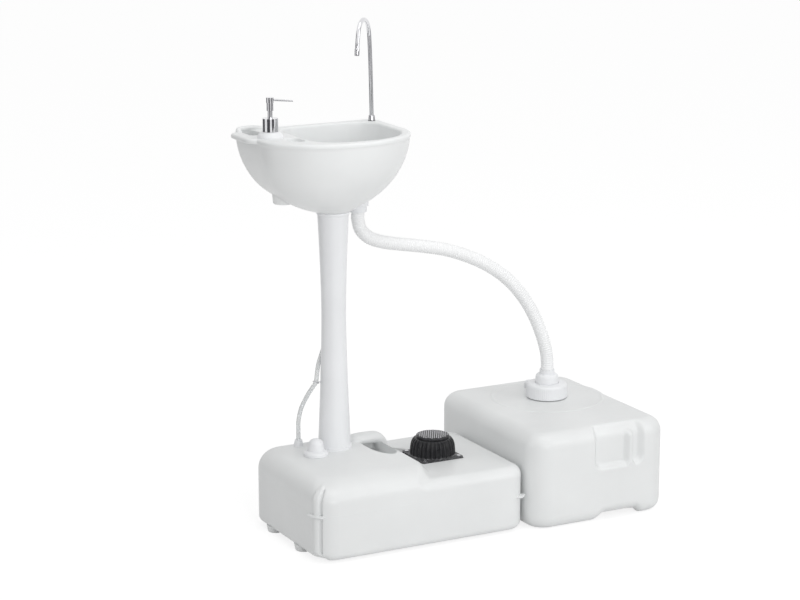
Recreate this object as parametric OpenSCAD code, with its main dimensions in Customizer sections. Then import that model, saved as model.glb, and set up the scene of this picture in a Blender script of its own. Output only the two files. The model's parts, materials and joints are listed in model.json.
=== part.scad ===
// Portable camping wash stand: a D-shaped basin on a flared neck over a fresh-water tank with a
// foot pump, and a separate waste tank fed by a ribbed drain hose.
// Millimetres, +Z up, +X along the stand's length towards the waste tank, +Y to the back.
// The origin is the centre of the footprint on the floor. Most places are given from the neck's
// axis, which stands at (neck_x, neck_y).

/* [Whole stand] */
// Height of the whole stand, from the floor to the top of the faucet's arch
stand_h = 1030; // [1000:5:1060]

/* [Fresh tank] */
// Length of the fresh-water tank
base_l = 470; // [440:5:520]
// Depth of the fresh-water tank
base_w = 320; // [300:5:360]
// Height of the tank on the neck's side
base_h = 160; // [150:1:180]
// Rise of the tank's plateau above the pump's side
plateau_rise = 23; // [16:1:28]
// Radius of the tank's upright corners on the left
base_corner_r = 45; // [40:1:50]
// Radius of the tank's upright corners on the right
base_corner_right_r = 38; // [30:1:45]
// Radius of the tank's top edges
base_edge_r = 28; // [20:1:32]
// Distance from the tank's left side to the neck's axis
neck_from_left = 152; // [145:1:165]
// Distance from the tank's back to the neck's axis
neck_from_back = 80; // [78:1:95]
// Wall of both tanks
tank_wall = 4; // [3:0.5:5]
// Height of the round feet under the fresh tank
foot_h = 5; // [5:0.5:12]
// Radius of the round feet
foot_r = 16; // [14:1:16]
// Drop of the moulding tabs below the tank's top
tab_drop = 64; // [50:1:75]

/* [Waste tank] */
// Length of the waste tank
waste_l = 324; // [300:4:380]
// Depth of the waste tank
waste_w = 416; // [380:4:440]
// Height of the waste tank
waste_h = 201; // [180:1:230]
// Radius of the waste tank's upright corners
waste_corner_r = 45; // [40:1:60]
// Radius of the waste tank's top edges
waste_edge_r = 30; // [24:1:36]
// Space between the two tanks
tank_gap = 6; // [5:1:30]
// How far the waste tank reaches behind the fresh tank
waste_back_step = 76; // [20:4:92]
// Height of the relief between the waste tank's feet
relief_h = 12; // [8:1:16]
// Radius of the ring embossed round the waste cap
ring_r = 118; // [105:1:125]

/* [Neck] */
// Neck's radius under the basin
neck_top_r = 32; // [30:0.5:33]
// Neck's radius at its waist
neck_waist_r = 25; // [24:0.5:26.5]
// Neck's radius on the tank
neck_foot_r = 34; // [32:0.5:36]
// Wall of the neck
neck_wall = 3; // [2:0.5:4]
// Depth that each end of the neck plugs in
plug_depth = 36; // [25:1:38]

/* [Basin] */
// Length of the basin without its towel lip
basin_l = 320; // [314:2:346]
// Distance from the basin's left side to the neck's axis
basin_from_left = 165; // [160:1:168]
// Reach of the basin behind the neck
basin_back = 122; // [119:1:132]
// Reach of the basin in front of the neck
basin_front = 133; // [128:1:150]
// Height of the basin above the neck
basin_h = 159; // [152:1:168]
// Width of the rim round the bowl
rim_w = 20; // [16:1:22]
// Depth of the bowl
bowl_d = 104; // [90:1:106]
// Width of the soap deck beside the bowl, from the basin's left side
deck_w = 84; // [80:1:90]
// Reach of the towel lip past the basin's left side
lip_w = 17; // [14:1:26]
// Length of the towel lip
lip_l = 80; // [70:1:90]
// Drain's place to the right of the neck
drain_x = 81; // [74:1:84]
// Drain's place behind the neck
drain_y = 50; // [44:1:54]
// Radius of the hole for the drain
drain_r = 17; // [15:0.5:18]

/* [Faucet] */
// Height of the faucet's arch above the rim
faucet_rise = 218; // [180:1:260]
// Diameter of the faucet's tube
faucet_d = 9; // [8:0.5:10]
// Radius of the faucet's arch
arch_r = 40; // [30:1:45]
// Length of the spout's straight end
spout_drop = 38; // [30:1:60]
// Heading of the spout, measured from +X
spout_heading = 218; // [200:1:240]

/* [Foot pump] */
// Side of the pump's square flange
pump_flange_w = 95; // [95:1:102]
// Radius of the pump's bellows
pump_r = 47; // [44:1:48]
// Radius of the tread on top
tread_r = 34; // [30:1:38]
// Height of the bellows and tread above the flange
pump_rise = 41; // [38:1:48]
// Flutes round the bellows
pump_flutes = 30; // [20:1:36]

/* [Soap pump] */
// Depth of the soap bottle below the deck
bottle_depth = 44; // [30:1:46]
// Radius of the soap bottle
bottle_r = 22; // [18:0.5:23]
// Height of the soap pump's collar
soap_collar_h = 24; // [18:1:28]
// Free stroke of the soap pump
soap_stroke = 14; // [8:1:15]

/* [Hoses] */
// Outer diameter of the ribbed drain hose
drain_hose_d = 28; // [26:1:30]
// Bore of the ribbed drain hose
drain_hose_bore = 22; // [18:0.5:23]
// Ribs along the drain hose
drain_hose_ribs = 128; // [96:4:148]
// Outer diameter of the clear supply hose
supply_hose_d = 9; // [8:0.5:10]

/* [Waste cap] */
// Radius of the knurled waste cap
waste_cap_r = 44; // [42:0.5:48]
// Height of the waste cap
waste_cap_h = 20; // [18:0.5:21]
// Radius of the swivel collar that carries the hose
swivel_r = 24.5; // [23:0.5:26]

/* [Hidden] */
$fn = 64;
running = 0.05;         // radial clearance of a shaft that turns or slides
seat = 0.2;             // clearance of a plugged joint
join = 0.3;             // gap between pieces that only meet

// Places, measured from the neck's axis
base_left = -neck_from_left;
base_right = base_left + base_l;
base_back = neck_from_back;
base_front = base_back - base_w;
waste_left = base_right + tank_gap;
waste_right = waste_left + waste_l;
waste_back = base_back + waste_back_step;
waste_front = waste_back - waste_w;
basin_half = basin_l / 2;
basin_left = -basin_from_left;
basin_right = basin_left + basin_l;
left_reach = min(base_left, basin_left - lip_w);
back_reach = max(base_back, basin_back, waste_back);
front_reach = min(base_front, -basin_front, waste_front);
neck_x = -(left_reach + waste_right) / 2;
neck_y = -(back_reach + front_reach) / 2;
arch_top_z = stand_h;
rim_z = arch_top_z - faucet_rise;
neck_top_z = rim_z - basin_h;
neck_len = neck_top_z - base_h;
pump_side_h = base_h - plateau_rise;

// Fresh tank
base_bottom_r = 14;
base_end_r = [42, 18];  // round of the top at the left end and at the right end
slope_start = 104;      // the plateau round the neck ends here, and falls to the pump's side
slope_end = 124;
edge_reach = [66, 24];  // front edge's round along Y, on the plateau and on the pump's side
edge_drop = [38, 22];   // and along Z
foot_inset = [17, 30];  // from the tank's left and right sides to its feet
well_r = neck_waist_r + 2;                  // bore that takes the neck's lower plug
well_wall = 5;
fill_x = -59;
fill_y = -34;
fill_spout_r = 17;
fill_bore_r = 13;
fill_cap_r = 25;
fill_dome_r = 15.5;
fill_liner_t = 1.5;
fill_spout_h = 5;
grommet_x = -60;
grommet_y = 46;
pump_x = 187;
pump_y = -77;
pump_pocket_d = 3;
pump_seat_z = pump_side_h - pump_pocket_d;
grip_x = 86;            // trough under the carrying handle: straight at the back, half an ellipse in front
grip_w = 48;
grip_back = 42;
grip_mid = -32;
grip_front = -94;
grip_depth = 30;
grip_rise = 13;
grip_bar_r = 12;
grip_bar_y = 24;
grip_bar_wide = 1.7;    // the bar's width over its height
grip_corner_r = 11;

// Waste tank
waste_bottom_r = 24;
cap_x = 506;
cap_y = -3;
spout_r = 37;
spout_bore_r = 33;
spout_h = 12;
vent_x = 511;
vent_y = 79;
vent_r = 9;
recess_x = 527;
recess_w = 120;
recess_h = 88;
recess_top = 2;
recess_depth = 12;
recess_corner_r = 14;
handle_inset = 24;      // from the recess's right end to its upright handle
relief_x = 530;
relief_w = 113;

// Neck
collar_h = 6;
collar_reach = 1.5;
waist_share = 0.57;     // waist's height as a share of the neck
plug_top_r = neck_waist_r + 1.8;
plug_foot_r = neck_waist_r + 1.8;

// Basin
bowl_ellipse_h = basin_h / sqrt(1 - pow(neck_top_r / basin_half, 2));
lean = [-9, 24];        // how far the basin's underside leans to the left and to the back
rim_round = 5;
basin_wall = 4;
side_y = -16;           // where the straight sides end and the round front begins
basin_corner_r = 24;
bowl_corner_r = 48;
bowl_full = 0.65;       // how square the bowl's front left quarter is: 1 is an ellipse
rim_band_h = 9;         // band round the rim, and how far it stands out
rim_band_out = 1.5;
bowl_t_end = 0.93;
boss_r = 25;
boss_x = 86;            // the left boss, to the left of the neck
soap_x = basin_left + 33;
soap_y = 9;
pocket_x = basin_left + 24;
pocket_y = basin_back - 44;
pocket_l = 30;
pocket_w = 66;
pocket_d = 26;
dish_x = basin_left + 61;
dish_y = -42;
dish_l = 34;
dish_w = 46;
dish_d = 7;
dish_bars = 4;
lip_y = 52;
lip_t = 20;
faucet_x = basin_right - 17;
faucet_y = basin_back - 24;

// Drain
drain_floor_z = rim_z - bowl_d;
drain_boss_z = drain_floor_z - 50;
drain_tail_r = drain_r - 0.5;
drain_tail_bore = drain_r - 3;
drain_end_z = drain_boss_z - 14;

// Faucet
faucet_r = faucet_d / 2;
faucet_wall = 1.1;
shank_r = faucet_r + 1.8;
shank_len = 34;
faucet_collar_r = 7.5;
faucet_collar_h = 10;
faucet_pocket_r = 11.5;
faucet_pocket_z = rim_z - 20;
washer_t = 1.5;
barb_z = rim_z - 44;

// Soap pump
bottle_flange_r = 26;
bottle_wall = 1.6;
bottle_shoulder_h = 14;
soap_collar_r = 16;
soap_stem_r = 5;
soap_sleeve_r = 7;
soap_knob_r = 7.8;
soap_knob_h = 9;
soap_sleeve_h = 17;
soap_nozzle_l = 50;
soap_barrel_r = 8;
soap_collar_z = rim_z + bottle_shoulder_h;
soap_top_z = soap_collar_z + soap_collar_h;

// Foot pump
flange_t = 6;
tread_t = 5;
pump_top_z = pump_seat_z + flange_t + pump_rise;
bellows_z = pump_seat_z + flange_t;
bellows_wall = 2.5;
chamber_r = 33;
chamber_h = 72;
pump_hole_r = chamber_r + 1;
screw_inset = 8;
outlet_z = pump_seat_z - 22;

// Waste cap
waste_rim_z = waste_h + spout_h;
seal_t = 2;
swivel_flange_t = 3;
liner_t = 1.6;
cap_top_t = 3;
swivel_flange_r = 33;
waste_cap_z = waste_rim_z + seal_t + swivel_flange_t + liner_t + cap_top_t - waste_cap_h;
swivel_top_z = 249;
knurls = 60;
waste_rise = 9;

// Hose routes: points chosen along the real lie of each hose, measured from the neck's axis.
// Each is stretched where its ends move, so both ends stay straight and meet what they plug into.
function fitted(route, a, b) = let (n = len(route) - 1, da = a - route[0], db = b - route[n])
    [for (i = [0:n]) let (t = ease((i - 1) / (n - 2))) route[i] + (1 - t) * da + t * db];
hose_gap = 0.15;        // gap between a hose's end and what it meets
drain_start_z = drain_end_z - 8;
drain_route = fitted([
    [86, 50, 636], [86, 50, 620], [92, 49, 598],
    [110, 47, 580], [138, 45, 569], [176, 43, 561], [228, 40, 552], [282, 36, 540], [334, 32, 521],
    [382, 28, 496], [424, 24, 464], [457, 20, 426], [482, 16, 384], [500, 13, 340], [510, 11, 304],
    [513, 10, 278], [513, 10, 262]],
    [drain_x, drain_y, drain_start_z - hose_gap], [cap_x, cap_y, swivel_top_z + 13 + hose_gap]);
supply_route = fitted([
    [-60, 46, 172], [-60, 46, 186], [-61, 43, 212], [-57, 38, 240],
    [-48, 28, 268], [-41, 17, 288], [-36.5, 11, 300], [-32, 16, 314], [-24, 25, 334],
    [-10, 32, 362], [2, 35, 395], [8, 35, 440], [10, 36, 490], [11, 39, 540], [17, 48, 585],
    [32, 66, 620], [58, 88, 648], [90, 104, 672], [118, 111, 694], [135, 110, 718],
    [140, 108, 742], [140, 108, 756], [140, 108, 768]],
    [grommet_x, grommet_y, base_h + 12 + hose_gap], [faucet_x, faucet_y, barb_z - hose_gap]);
inner_route = fitted([
    [155, -70, 112], [143, -70, 112], [128, -73, 110],
    [90, -76, 106], [40, -74, 104], [0, -66, 104], [-34, -50, 104], [-54, -24, 104],
    [-62, 6, 106], [-63, 32, 114], [-60, 46, 128], [-60, 46, 140]],
    [pump_x - chamber_r - 2 - hose_gap, pump_y, outlet_z],
    [grommet_x, grommet_y, base_h - 20 - hose_gap]);

// ---------------------------------------------------------------- outlines and surfaces

// Points of an arc about a centre, from one angle to another
function arc(c, r, from, to, n) =
    [for (k = [0:n]) c + r * [cos(from + (to - from) * k / n), sin(from + (to - from) * k / n)]];

// Rounded rectangle about the origin
function round_rect(l, w, r, n = 5) = concat(
    arc([l / 2 - r, w / 2 - r], r, 0, 90, n), arc([r - l / 2, w / 2 - r], r, 90, 180, n),
    arc([r - l / 2, r - w / 2], r, 180, 270, n), arc([l / 2 - r, r - w / 2], r, 270, 360, n));

// D-shaped outline: square back with round corners, straight sides and an elliptical front, whose
// left quarter is squarer where full is under 1
function d_outline(left, right, back, front, corner, full = 1) = let (
    half = (right - left) / 2, mid = (right + left) / 2) concat(
    arc([right - corner, back - corner], corner, 0, 90, 5),
    arc([left + corner, back - corner], corner, 90, 180, 5),
    [for (k = [0:18]) let (t = 180 + 10 * k, e = k <= 9 ? full : 1)
        [mid + half * sign(cos(t)) * pow(abs(cos(t)), e), side_y - (side_y - front) * pow(abs(sin(t)), e)]]);

// Solid through a stack of rings that all have the same number of points
module loft(rings) {
    n = len(rings[0]);
    m = len(rings);
    polyhedron([for (ring = rings) for (p = ring) p], concat(
        [[for (j = [0:n - 1]) j]],
        [for (i = [0:m - 2]) for (j = [0:n - 1]) let (a = i * n + j, b = i * n + (j + 1) % n)
            each [[a, a + n, b + n], [a, b + n, b]]],
        [[for (j = [n - 1:-1:0]) (m - 1) * n + j]]), convexity = 6);
}

// Upright prism of an outline between two heights
module prism(outline, z0, z1) {
    translate([0, 0, z0]) linear_extrude(z1 - z0) polygon(outline);
}

// Round tube between two heights
module ring(r, bore, z0, z1) {
    difference() {
        translate([0, 0, z0]) cylinder(h = z1 - z0, r = r);
        translate([0, 0, z0 - 1]) cylinder(h = z1 - z0 + 2, r = bore);
    }
}

// Smooth step from 0 to 1
function ease(t) = let (u = max(0, min(1, t))) u * u * (3 - 2 * u);

// How far a round edge of radius r draws in, at the distance t from its end
function draw_in(r, t) = t >= r ? 0 : r - sqrt(r * r - pow(r - t, 2));

// Places along a tank's length: fine at both round ends, with extra ones between
function stations(x0, x1, r, between, n = 6) = concat(
    [for (k = [0:n]) x0 + r * (1 - cos(90 * k / n))], between,
    [for (k = [n:-1:0]) x1 - r * (1 - cos(90 * k / n))]);

// Cross-section of a tank at the place x along its length. The top's front edge is an ellipse, and
// end_r rounds the top towards the nearer end.
function tank_ring(x, x0, x1, y0, y1, z0, z1, corner, top_r, bottom_r, front, end_r, n = 4) = let (
    t = min(x - x0, x1 - x), y_in = draw_in(corner, t),
    a = [y0 + y_in, z0 + draw_in(bottom_r, t)], b = [y1 - y_in, z1 - draw_in(end_r, t)]) [
    for (p = concat(
        arc([b[0] - bottom_r, a[1] + bottom_r], bottom_r, -90, 0, n),
        arc([b[0] - top_r, b[1] - top_r], top_r, 0, 90, n),
        [for (k = [0:n]) [a[0] + front[0] * (1 - sin(90 * k / n)), b[1] - front[1] * (1 - cos(90 * k / n))]],
        arc([a[0] + bottom_r, a[1] + bottom_r], bottom_r, 180, 270, n))) [x, p[0], p[1]]];

// Round tube swept along a route, with a bore where one is given
function unit(v) = v / norm(v);
function tangent(route, i) = unit(route[min(i + 1, len(route) - 1)] - route[max(i - 1, 0)]);
function across(t, side) = unit(cross(cross(t, side), t));
function circle_ring(p, t, r, sides, side) = let (u = across(t, side), v = cross(t, u)) [
    for (k = [0:sides - 1]) p + r * (cos(360 * k / sides) * u + sin(360 * k / sides) * v)];

// Catmull-Rom curve through the route's points, at the place s counted in points
function spline(route, s) = let (
    last = len(route) - 1, i = min(floor(s), last - 1), u = s - i,
    p1 = route[i], p2 = route[i + 1],
    p0 = i > 0 ? route[i - 1] : 2 * p1 - p2, p3 = i + 2 <= last ? route[i + 2] : 2 * p2 - p1)
    ((2 * p1) + (p2 - p0) * u + (2 * p0 - 5 * p1 + 4 * p2 - p3) * u * u
        + (3 * p1 - p0 - 3 * p2 + p3) * u * u * u) / 2;

// The same curve's points at even steps of length
function curve_points(route, per) = [
    for (k = [0:(len(route) - 1) * per]) spline(route, k / per)];
function lengths(pts) = [for (i = 0, s = 0; i < len(pts); i = i + 1,
    s = i < len(pts) ? s + norm(pts[i] - pts[i - 1]) : s) s];
function even_steps(route, n) = let (
    pts = curve_points(route, 12), at = lengths(pts), total = at[len(at) - 1]) [
    for (k = [0:n]) let (s = total * k / n, i = max([for (j = [0:len(at) - 2]) at[j] <= s ? j : 0]),
        u = (s - at[i]) / (at[i + 1] - at[i])) pts[i] * (1 - u) + pts[i + 1] * u];

module solid_tube(points, r, sides, side) {
    n = len(points);
    loft([for (i = [0:n - 1]) circle_ring(points[i], tangent(points, i), r, sides, side)]);
}

// Ribbed hose: the radius swells at every rib, and the bore stays even
module ribbed_hose(route, ribs, r_rib, r_root, bore, sides, side) {
    steps = even_steps(route, 2 * ribs);
    n = len(steps);
    outer = [for (i = [0:n - 1]) circle_ring(steps[i], tangent(steps, i),
        (i == 0 || i == n - 1) ? r_root : (i % 2 == 1 ? r_rib : r_root), sides, side)];
    inner = [for (i = [0:4:n - 1]) circle_ring(steps[i], tangent(steps, i), bore, sides, side)];
    m = len(inner);
    points = concat([for (ring = outer) for (p = ring) p], [for (ring = inner) for (p = ring) p]);
    q = n * sides;
    last_out = (n - 1) * sides;
    last_in = q + (m - 1) * sides;
    polyhedron(points, concat(
        [for (i = [0:n - 2]) for (j = [0:sides - 1])
            let (a = i * sides + j, b = i * sides + (j + 1) % sides)
            each [[a, a + sides, b + sides], [a, b + sides, b]]],
        [for (i = [0:m - 2]) for (j = [0:sides - 1])
            let (a = q + i * sides + j, b = q + i * sides + (j + 1) % sides)
            each [[a, b + sides, a + sides], [a, b, b + sides]]],
        [for (j = [0:sides - 1]) let (k = (j + 1) % sides)
            each [[j, k, q + k], [j, q + k, q + j]]],
        [for (j = [0:sides - 1]) let (k = (j + 1) % sides)
            each [[last_out + j, last_in + j, last_in + k], [last_out + j, last_in + k, last_out + k]]]),
        convexity = 10);
}

// Wire spring wound up the Z axis
module coil_spring(r, wire, z0, z1, turns, steps, sides) {
    n = turns * steps;
    points = [for (k = [0:n]) let (a = 360 * k / steps)
        [r * cos(a), r * sin(a), z0 + wire + (z1 - z0 - 2 * wire) * k / n]];
    solid_tube(points, wire, sides, [0, 0, 1]);
}

module at_neck() {
    translate([neck_x, neck_y, 0]) children();
}

// ---------------------------------------------------------------- basin

// Scale of the basin's outline at the height z
function basin_scale(z) = sqrt(max(0, 1 - pow((rim_z - z) / bowl_ellipse_h, 2)));

// Basin's outer section: a D at the rim that turns into the neck's circle at the bottom
function basin_ring(z, inset) = let (
    s = basin_scale(z), turn = ease((0.8 - s) / 0.6), least = neck_top_r / basin_half,
    off = lean * (1 - s) * max(0, min(1, (s - least) / 0.25)),
    d = d_outline(basin_left, basin_right, basin_back, -basin_front, basin_corner_r)) [
    for (p = d) let (
        r = norm(p), k = s * ((1 - turn) + turn * basin_half / r) - inset / r)
        [p[0] * k + off[0], p[1] * k + off[1], z]];

// Bowl's section: the inner D drawn in towards the drain
function bowl_ring(z, s) = [for (p = d_outline(basin_left + deck_w, basin_right - rim_w,
    basin_back - rim_w, -basin_front + rim_w, bowl_corner_r, bowl_full))
    [drain_x + (p[0] - drain_x) * s, drain_y + (p[1] - drain_y) * s, z]];

// Height of the k-th of n sections of the basin's skin, from the neck up to the rim's band
function skin_z(k, n) = let (from = asin(neck_top_r / basin_half), to = acos(rim_band_h / bowl_ellipse_h))
    rim_z - bowl_ellipse_h * cos(from + (to - from) * k / n);

module basin_skin() {
    loft(concat(
        [for (k = [0:11]) basin_ring(skin_z(k, 11), 0)],
        [basin_ring(rim_z - rim_band_h + rim_band_out, -rim_band_out),
            basin_ring(rim_z - rim_round, -rim_band_out),
            basin_ring(rim_z - rim_round * 0.3, rim_round * 0.3 - rim_band_out),
            basin_ring(rim_z, rim_round - rim_band_out)]));
}

module bowl_space() {
    steps = [for (k = [0:8]) bowl_t_end * cos(90 * k / 8)];
    loft(concat(
        [for (t = steps) bowl_ring(rim_z - bowl_d * t / bowl_t_end, pow(1 - pow(t, 2.4), 1 / 2.4))],
        [bowl_ring(rim_z + 2, 1.03)]));
}

// Hollow between the basin's two walls, clear of the sockets and bosses by a wall's thickness
module basin_hollow() {
    w = basin_wall;
    difference() {
        loft([for (k = [0:6]) let (z = skin_z(k, 6))
            [for (p = basin_ring(z, w)) [p[0], p[1], z + w]]]);
        loft(concat(
            [for (k = [0:4]) let (t = bowl_t_end * cos(90 * k / 4), q = bowl_ring(0,
                pow(1 - pow(t, 2.4), 1 / 2.4))) [for (p = q) let (
                    v = [p[0] - drain_x, p[1] - drain_y], u = w * v / norm(v))
                [p[0] + u[0], p[1] + u[1], rim_z - w - bowl_d * t / bowl_t_end]]],
            [[for (p = bowl_ring(0, 1.03)) let (v = [p[0] - drain_x, p[1] - drain_y], u = w * v / norm(v))
                [p[0] + u[0], p[1] + u[1], rim_z + 2]]]));
        translate([0, 0, neck_top_z - 1])
            cylinder(h = plug_depth + 2 + w, r = plug_top_r + seat + w, $fn = 32);
        translate([drain_x, drain_y, neck_top_z - 1])
            cylinder(h = basin_h, r = drain_r + w, $fn = 32);
        translate([faucet_x, faucet_y, neck_top_z - 1])
            cylinder(h = basin_h + 2, r = faucet_pocket_r + w, $fn = 32);
        translate([soap_x, soap_y, rim_z - bottle_depth - 2 - w])
            cylinder(h = bottle_depth + w + 3, r = bottle_r + seat + w, $fn = 32);
        translate([pocket_x, pocket_y, 0])
            prism(round_rect(pocket_l + 2 * w, pocket_w + 2 * w, 9 + w), rim_z - pocket_d - w, rim_z + 1);
        translate([dish_x, dish_y, 0])
            prism(round_rect(dish_l + 2 * w, dish_w + 2 * w, 14 + w), rim_z - dish_d - w, rim_z + 1);
    }
    translate([-boss_x, drain_y, drain_boss_z + 14]) cylinder(h = 40, r = boss_r - 9);
    translate([-boss_x, drain_y, drain_boss_z + 9]) cylinder(h = 40, r = 2.5);
}

// Lip at the left end, that a towel hangs over
module towel_lip() {
    translate([basin_left - lip_w / 2 + 12, lip_y, 0])
        prism(round_rect(lip_w + 24, lip_l, 12), rim_z - lip_t, rim_z);
}

module basin() color("white") at_neck() {
    difference() {
        union() {
            basin_skin();
            towel_lip();
            translate([drain_x, drain_y, drain_boss_z])
                cylinder(h = drain_floor_z - drain_boss_z - 4, r1 = boss_r - 1, r2 = boss_r);
            translate([-boss_x, drain_y, drain_boss_z + 10])
                cylinder(h = 40, r1 = boss_r - 4, r2 = boss_r);
        }
        bowl_space();
        basin_hollow();
        translate([pocket_x, pocket_y, 0])
            prism(round_rect(pocket_l, pocket_w, 9), rim_z - pocket_d, rim_z + 1);
        translate([dish_x, dish_y, 0])
            prism(round_rect(dish_l, dish_w, 14), rim_z - dish_d, rim_z + 1);
        translate([soap_x, soap_y, rim_z - bottle_depth - 2])
            cylinder(h = bottle_depth + 3, r = bottle_r + seat);
        translate([drain_x, drain_y, drain_boss_z - 1])
            cylinder(h = bowl_d, r = drain_r);
        translate([faucet_x, faucet_y, neck_top_z])
            cylinder(h = rim_z - neck_top_z + 1, r = shank_r + seat);
        translate([faucet_x, faucet_y, neck_top_z])
            cylinder(h = faucet_pocket_z - neck_top_z, r = faucet_pocket_r);
        translate([0, 0, neck_top_z - 1])
            cylinder(h = plug_depth + 2, r = plug_top_r + seat);
    }
    for (k = [0:dish_bars - 1])
        translate([dish_x - dish_l / 2 + 7, dish_y + (k - (dish_bars - 1) / 2) * 10, rim_z - dish_d])
            rotate([0, 90, 0]) cylinder(h = dish_l - 14, r = 2, $fn = 16);
}

module drain_strainer() color("silver") at_neck() translate([drain_x, drain_y, 0]) {
    difference() {
        union() {
            translate([0, 0, drain_floor_z + 1]) cylinder(h = 2.5, r = 23);
            translate([0, 0, drain_floor_z - 9.7]) cylinder(h = 11, r = drain_tail_bore - running);
        }
        translate([0, 0, drain_floor_z - 10]) cylinder(h = 11, r = drain_tail_bore - 2);
        for (k = [0:5]) rotate(60 * k) translate([7, 0, drain_floor_z - 1])
            cylinder(h = 6, r = 2.5);
        translate([0, 0, drain_floor_z - 1]) cylinder(h = 6, r = 2.5);
    }
}

module drain_gasket() color("dimgray") at_neck() translate([drain_x, drain_y, 0])
    ring(23, drain_tail_bore + 0.2, drain_floor_z, drain_floor_z + 1);

module drain_tail() color("white") at_neck() translate([drain_x, drain_y, 0]) {
    difference() {
        translate([0, 0, drain_end_z]) cylinder(h = drain_floor_z - drain_end_z, r = drain_tail_r);
        translate([0, 0, drain_end_z - 1])
            cylinder(h = drain_floor_z - drain_end_z + 2, r = drain_tail_bore);
    }
}

module drain_nut() color("white") at_neck() translate([drain_x, drain_y, 0]) {
    difference() {
        translate([0, 0, drain_boss_z - 9]) cylinder(h = 9, r = boss_r - 2, $fn = 8);
        translate([0, 0, drain_boss_z - 10]) cylinder(h = 11, r = drain_tail_r + running);
    }
}

// ---------------------------------------------------------------- faucet

// Gooseneck of one radius: riser, half arch and straight spout
module gooseneck(r, z0, drop) {
    arch_z = arch_top_z - faucet_r - arch_r;
    translate([0, 0, z0]) cylinder(h = arch_z - z0, r = r, $fn = 32);
    translate([arch_r, 0, arch_z]) rotate([90, 0, 0])
        rotate_extrude(angle = 180, $fn = 48) translate([arch_r, 0]) circle(r = r, $fn = 32);
    translate([2 * arch_r, 0, arch_z - drop]) cylinder(h = drop, r = r, $fn = 32);
}

module at_faucet() {
    at_neck() translate([faucet_x, faucet_y, 0]) children();
}

module faucet_tube() color("silver") at_faucet() rotate(spout_heading) difference() {
    gooseneck(faucet_r, rim_z - 12, spout_drop - 8);
    gooseneck(faucet_r - faucet_wall, rim_z - 13, spout_drop - 7);
}

module faucet_nozzle() color("silver") at_faucet() rotate(spout_heading)
    translate([2 * arch_r, 0, arch_top_z - faucet_r - arch_r - spout_drop]) difference() {
        union() {
            cylinder(h = 8, r = faucet_r + 0.6, $fn = 32);
            translate([0, 0, 8]) cylinder(h = 6, r = faucet_r - faucet_wall - running, $fn = 32);
        }
        translate([0, 0, -1]) cylinder(h = 16, r = faucet_r - faucet_wall - 1, $fn = 32);
    }

module faucet_collar() color("silver") at_faucet() difference() {
    translate([0, 0, rim_z + washer_t]) cylinder(h = faucet_collar_h, r1 = faucet_collar_r,
        r2 = faucet_collar_r - 1);
    translate([0, 0, rim_z]) cylinder(h = faucet_collar_h + 3, r = faucet_r + running);
    translate([0, 0, rim_z]) cylinder(h = 6, r = shank_r + running);
}

module faucet_washer() color("dimgray") at_faucet()
    ring(faucet_collar_r, shank_r + seat, rim_z, rim_z + washer_t);

module faucet_shank() color("silver") at_faucet() difference() {
    translate([0, 0, rim_z + 6 - shank_len]) cylinder(h = shank_len, r = shank_r);
    translate([0, 0, rim_z - 12 - join]) cylinder(h = 19, r = faucet_r + running);
    translate([0, 0, rim_z + 5 - shank_len]) cylinder(h = shank_len, r = faucet_r - faucet_wall);
}

module faucet_nut() color("silver") at_faucet() difference() {
    translate([0, 0, faucet_pocket_z - 5]) cylinder(h = 5, r = 9.6, $fn = 6);
    translate([0, 0, faucet_pocket_z - 6]) cylinder(h = 7, r = shank_r + running);
}

module faucet_barb() color("white") at_faucet() difference() {
    union() {
        translate([0, 0, rim_z - 32]) cylinder(h = 4, r = shank_r + 1);
        translate([0, 0, barb_z]) cylinder(h = rim_z - 32 - barb_z, r = supply_hose_d / 2);
    }
    translate([0, 0, barb_z - 1]) cylinder(h = 50, r = 1.8);
}

// ---------------------------------------------------------------- soap pump

module at_soap() {
    at_neck() translate([soap_x, soap_y, 0]) children();
}

module soap_bottle() color("white") at_soap() {
    bottom = rim_z - bottle_depth;
    mouth_r = soap_barrel_r + 0.5;
    rotate_extrude() polygon([
        [0, bottom], [bottle_r - 3, bottom], [bottle_r, bottom + 3], [bottle_r, rim_z],
        [bottle_flange_r, rim_z], [bottle_flange_r, rim_z + 2],
        [bottle_flange_r - 2, rim_z + 6], [bottle_flange_r - 7, rim_z + 10],
        [14.5, rim_z + 12], [14.5, soap_collar_z + 14], [mouth_r, soap_collar_z + 14],
        [mouth_r, rim_z + 10], [bottle_r - bottle_wall, rim_z + 4],
        [bottle_r - bottle_wall, bottom + 3], [bottle_r - 4, bottom + bottle_wall],
        [0, bottom + bottle_wall]]);
}

module soap_gasket() color("dimgray") at_soap()
    ring(14, soap_barrel_r + seat, soap_collar_z + 14, soap_collar_z + 16);

module soap_collar() color("silver") at_soap() {
    difference() {
        translate([0, 0, soap_collar_z - 2]) cylinder(h = soap_collar_h + 2, r = soap_collar_r);
        translate([0, 0, soap_collar_z - 3]) cylinder(h = 21, r = 14.5 + seat);
        translate([0, 0, soap_collar_z]) cylinder(h = soap_collar_h + 1, r = soap_stem_r + running);
    }
}

module soap_barrel() color("white") at_soap() difference() {
    union() {
        translate([0, 0, rim_z - 26]) cylinder(h = soap_collar_z + 18 - rim_z + 26 - 0.2,
            r = soap_barrel_r);
        translate([0, 0, soap_collar_z + 16]) cylinder(h = 1.8, r = 12);
    }
    translate([0, 0, rim_z - 24]) cylinder(h = 80, r = soap_stem_r + 0.6);
    translate([0, 0, rim_z - 27]) cylinder(h = 10, r = 1.5);
}

module soap_stem() color("white") at_soap() difference() {
    translate([0, 0, rim_z + 8]) cylinder(h = soap_top_z + soap_stroke + 1 - rim_z - 8,
        r = soap_stem_r);
    translate([0, 0, rim_z + 7]) cylinder(h = 80, r = 1.5);
}

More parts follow.
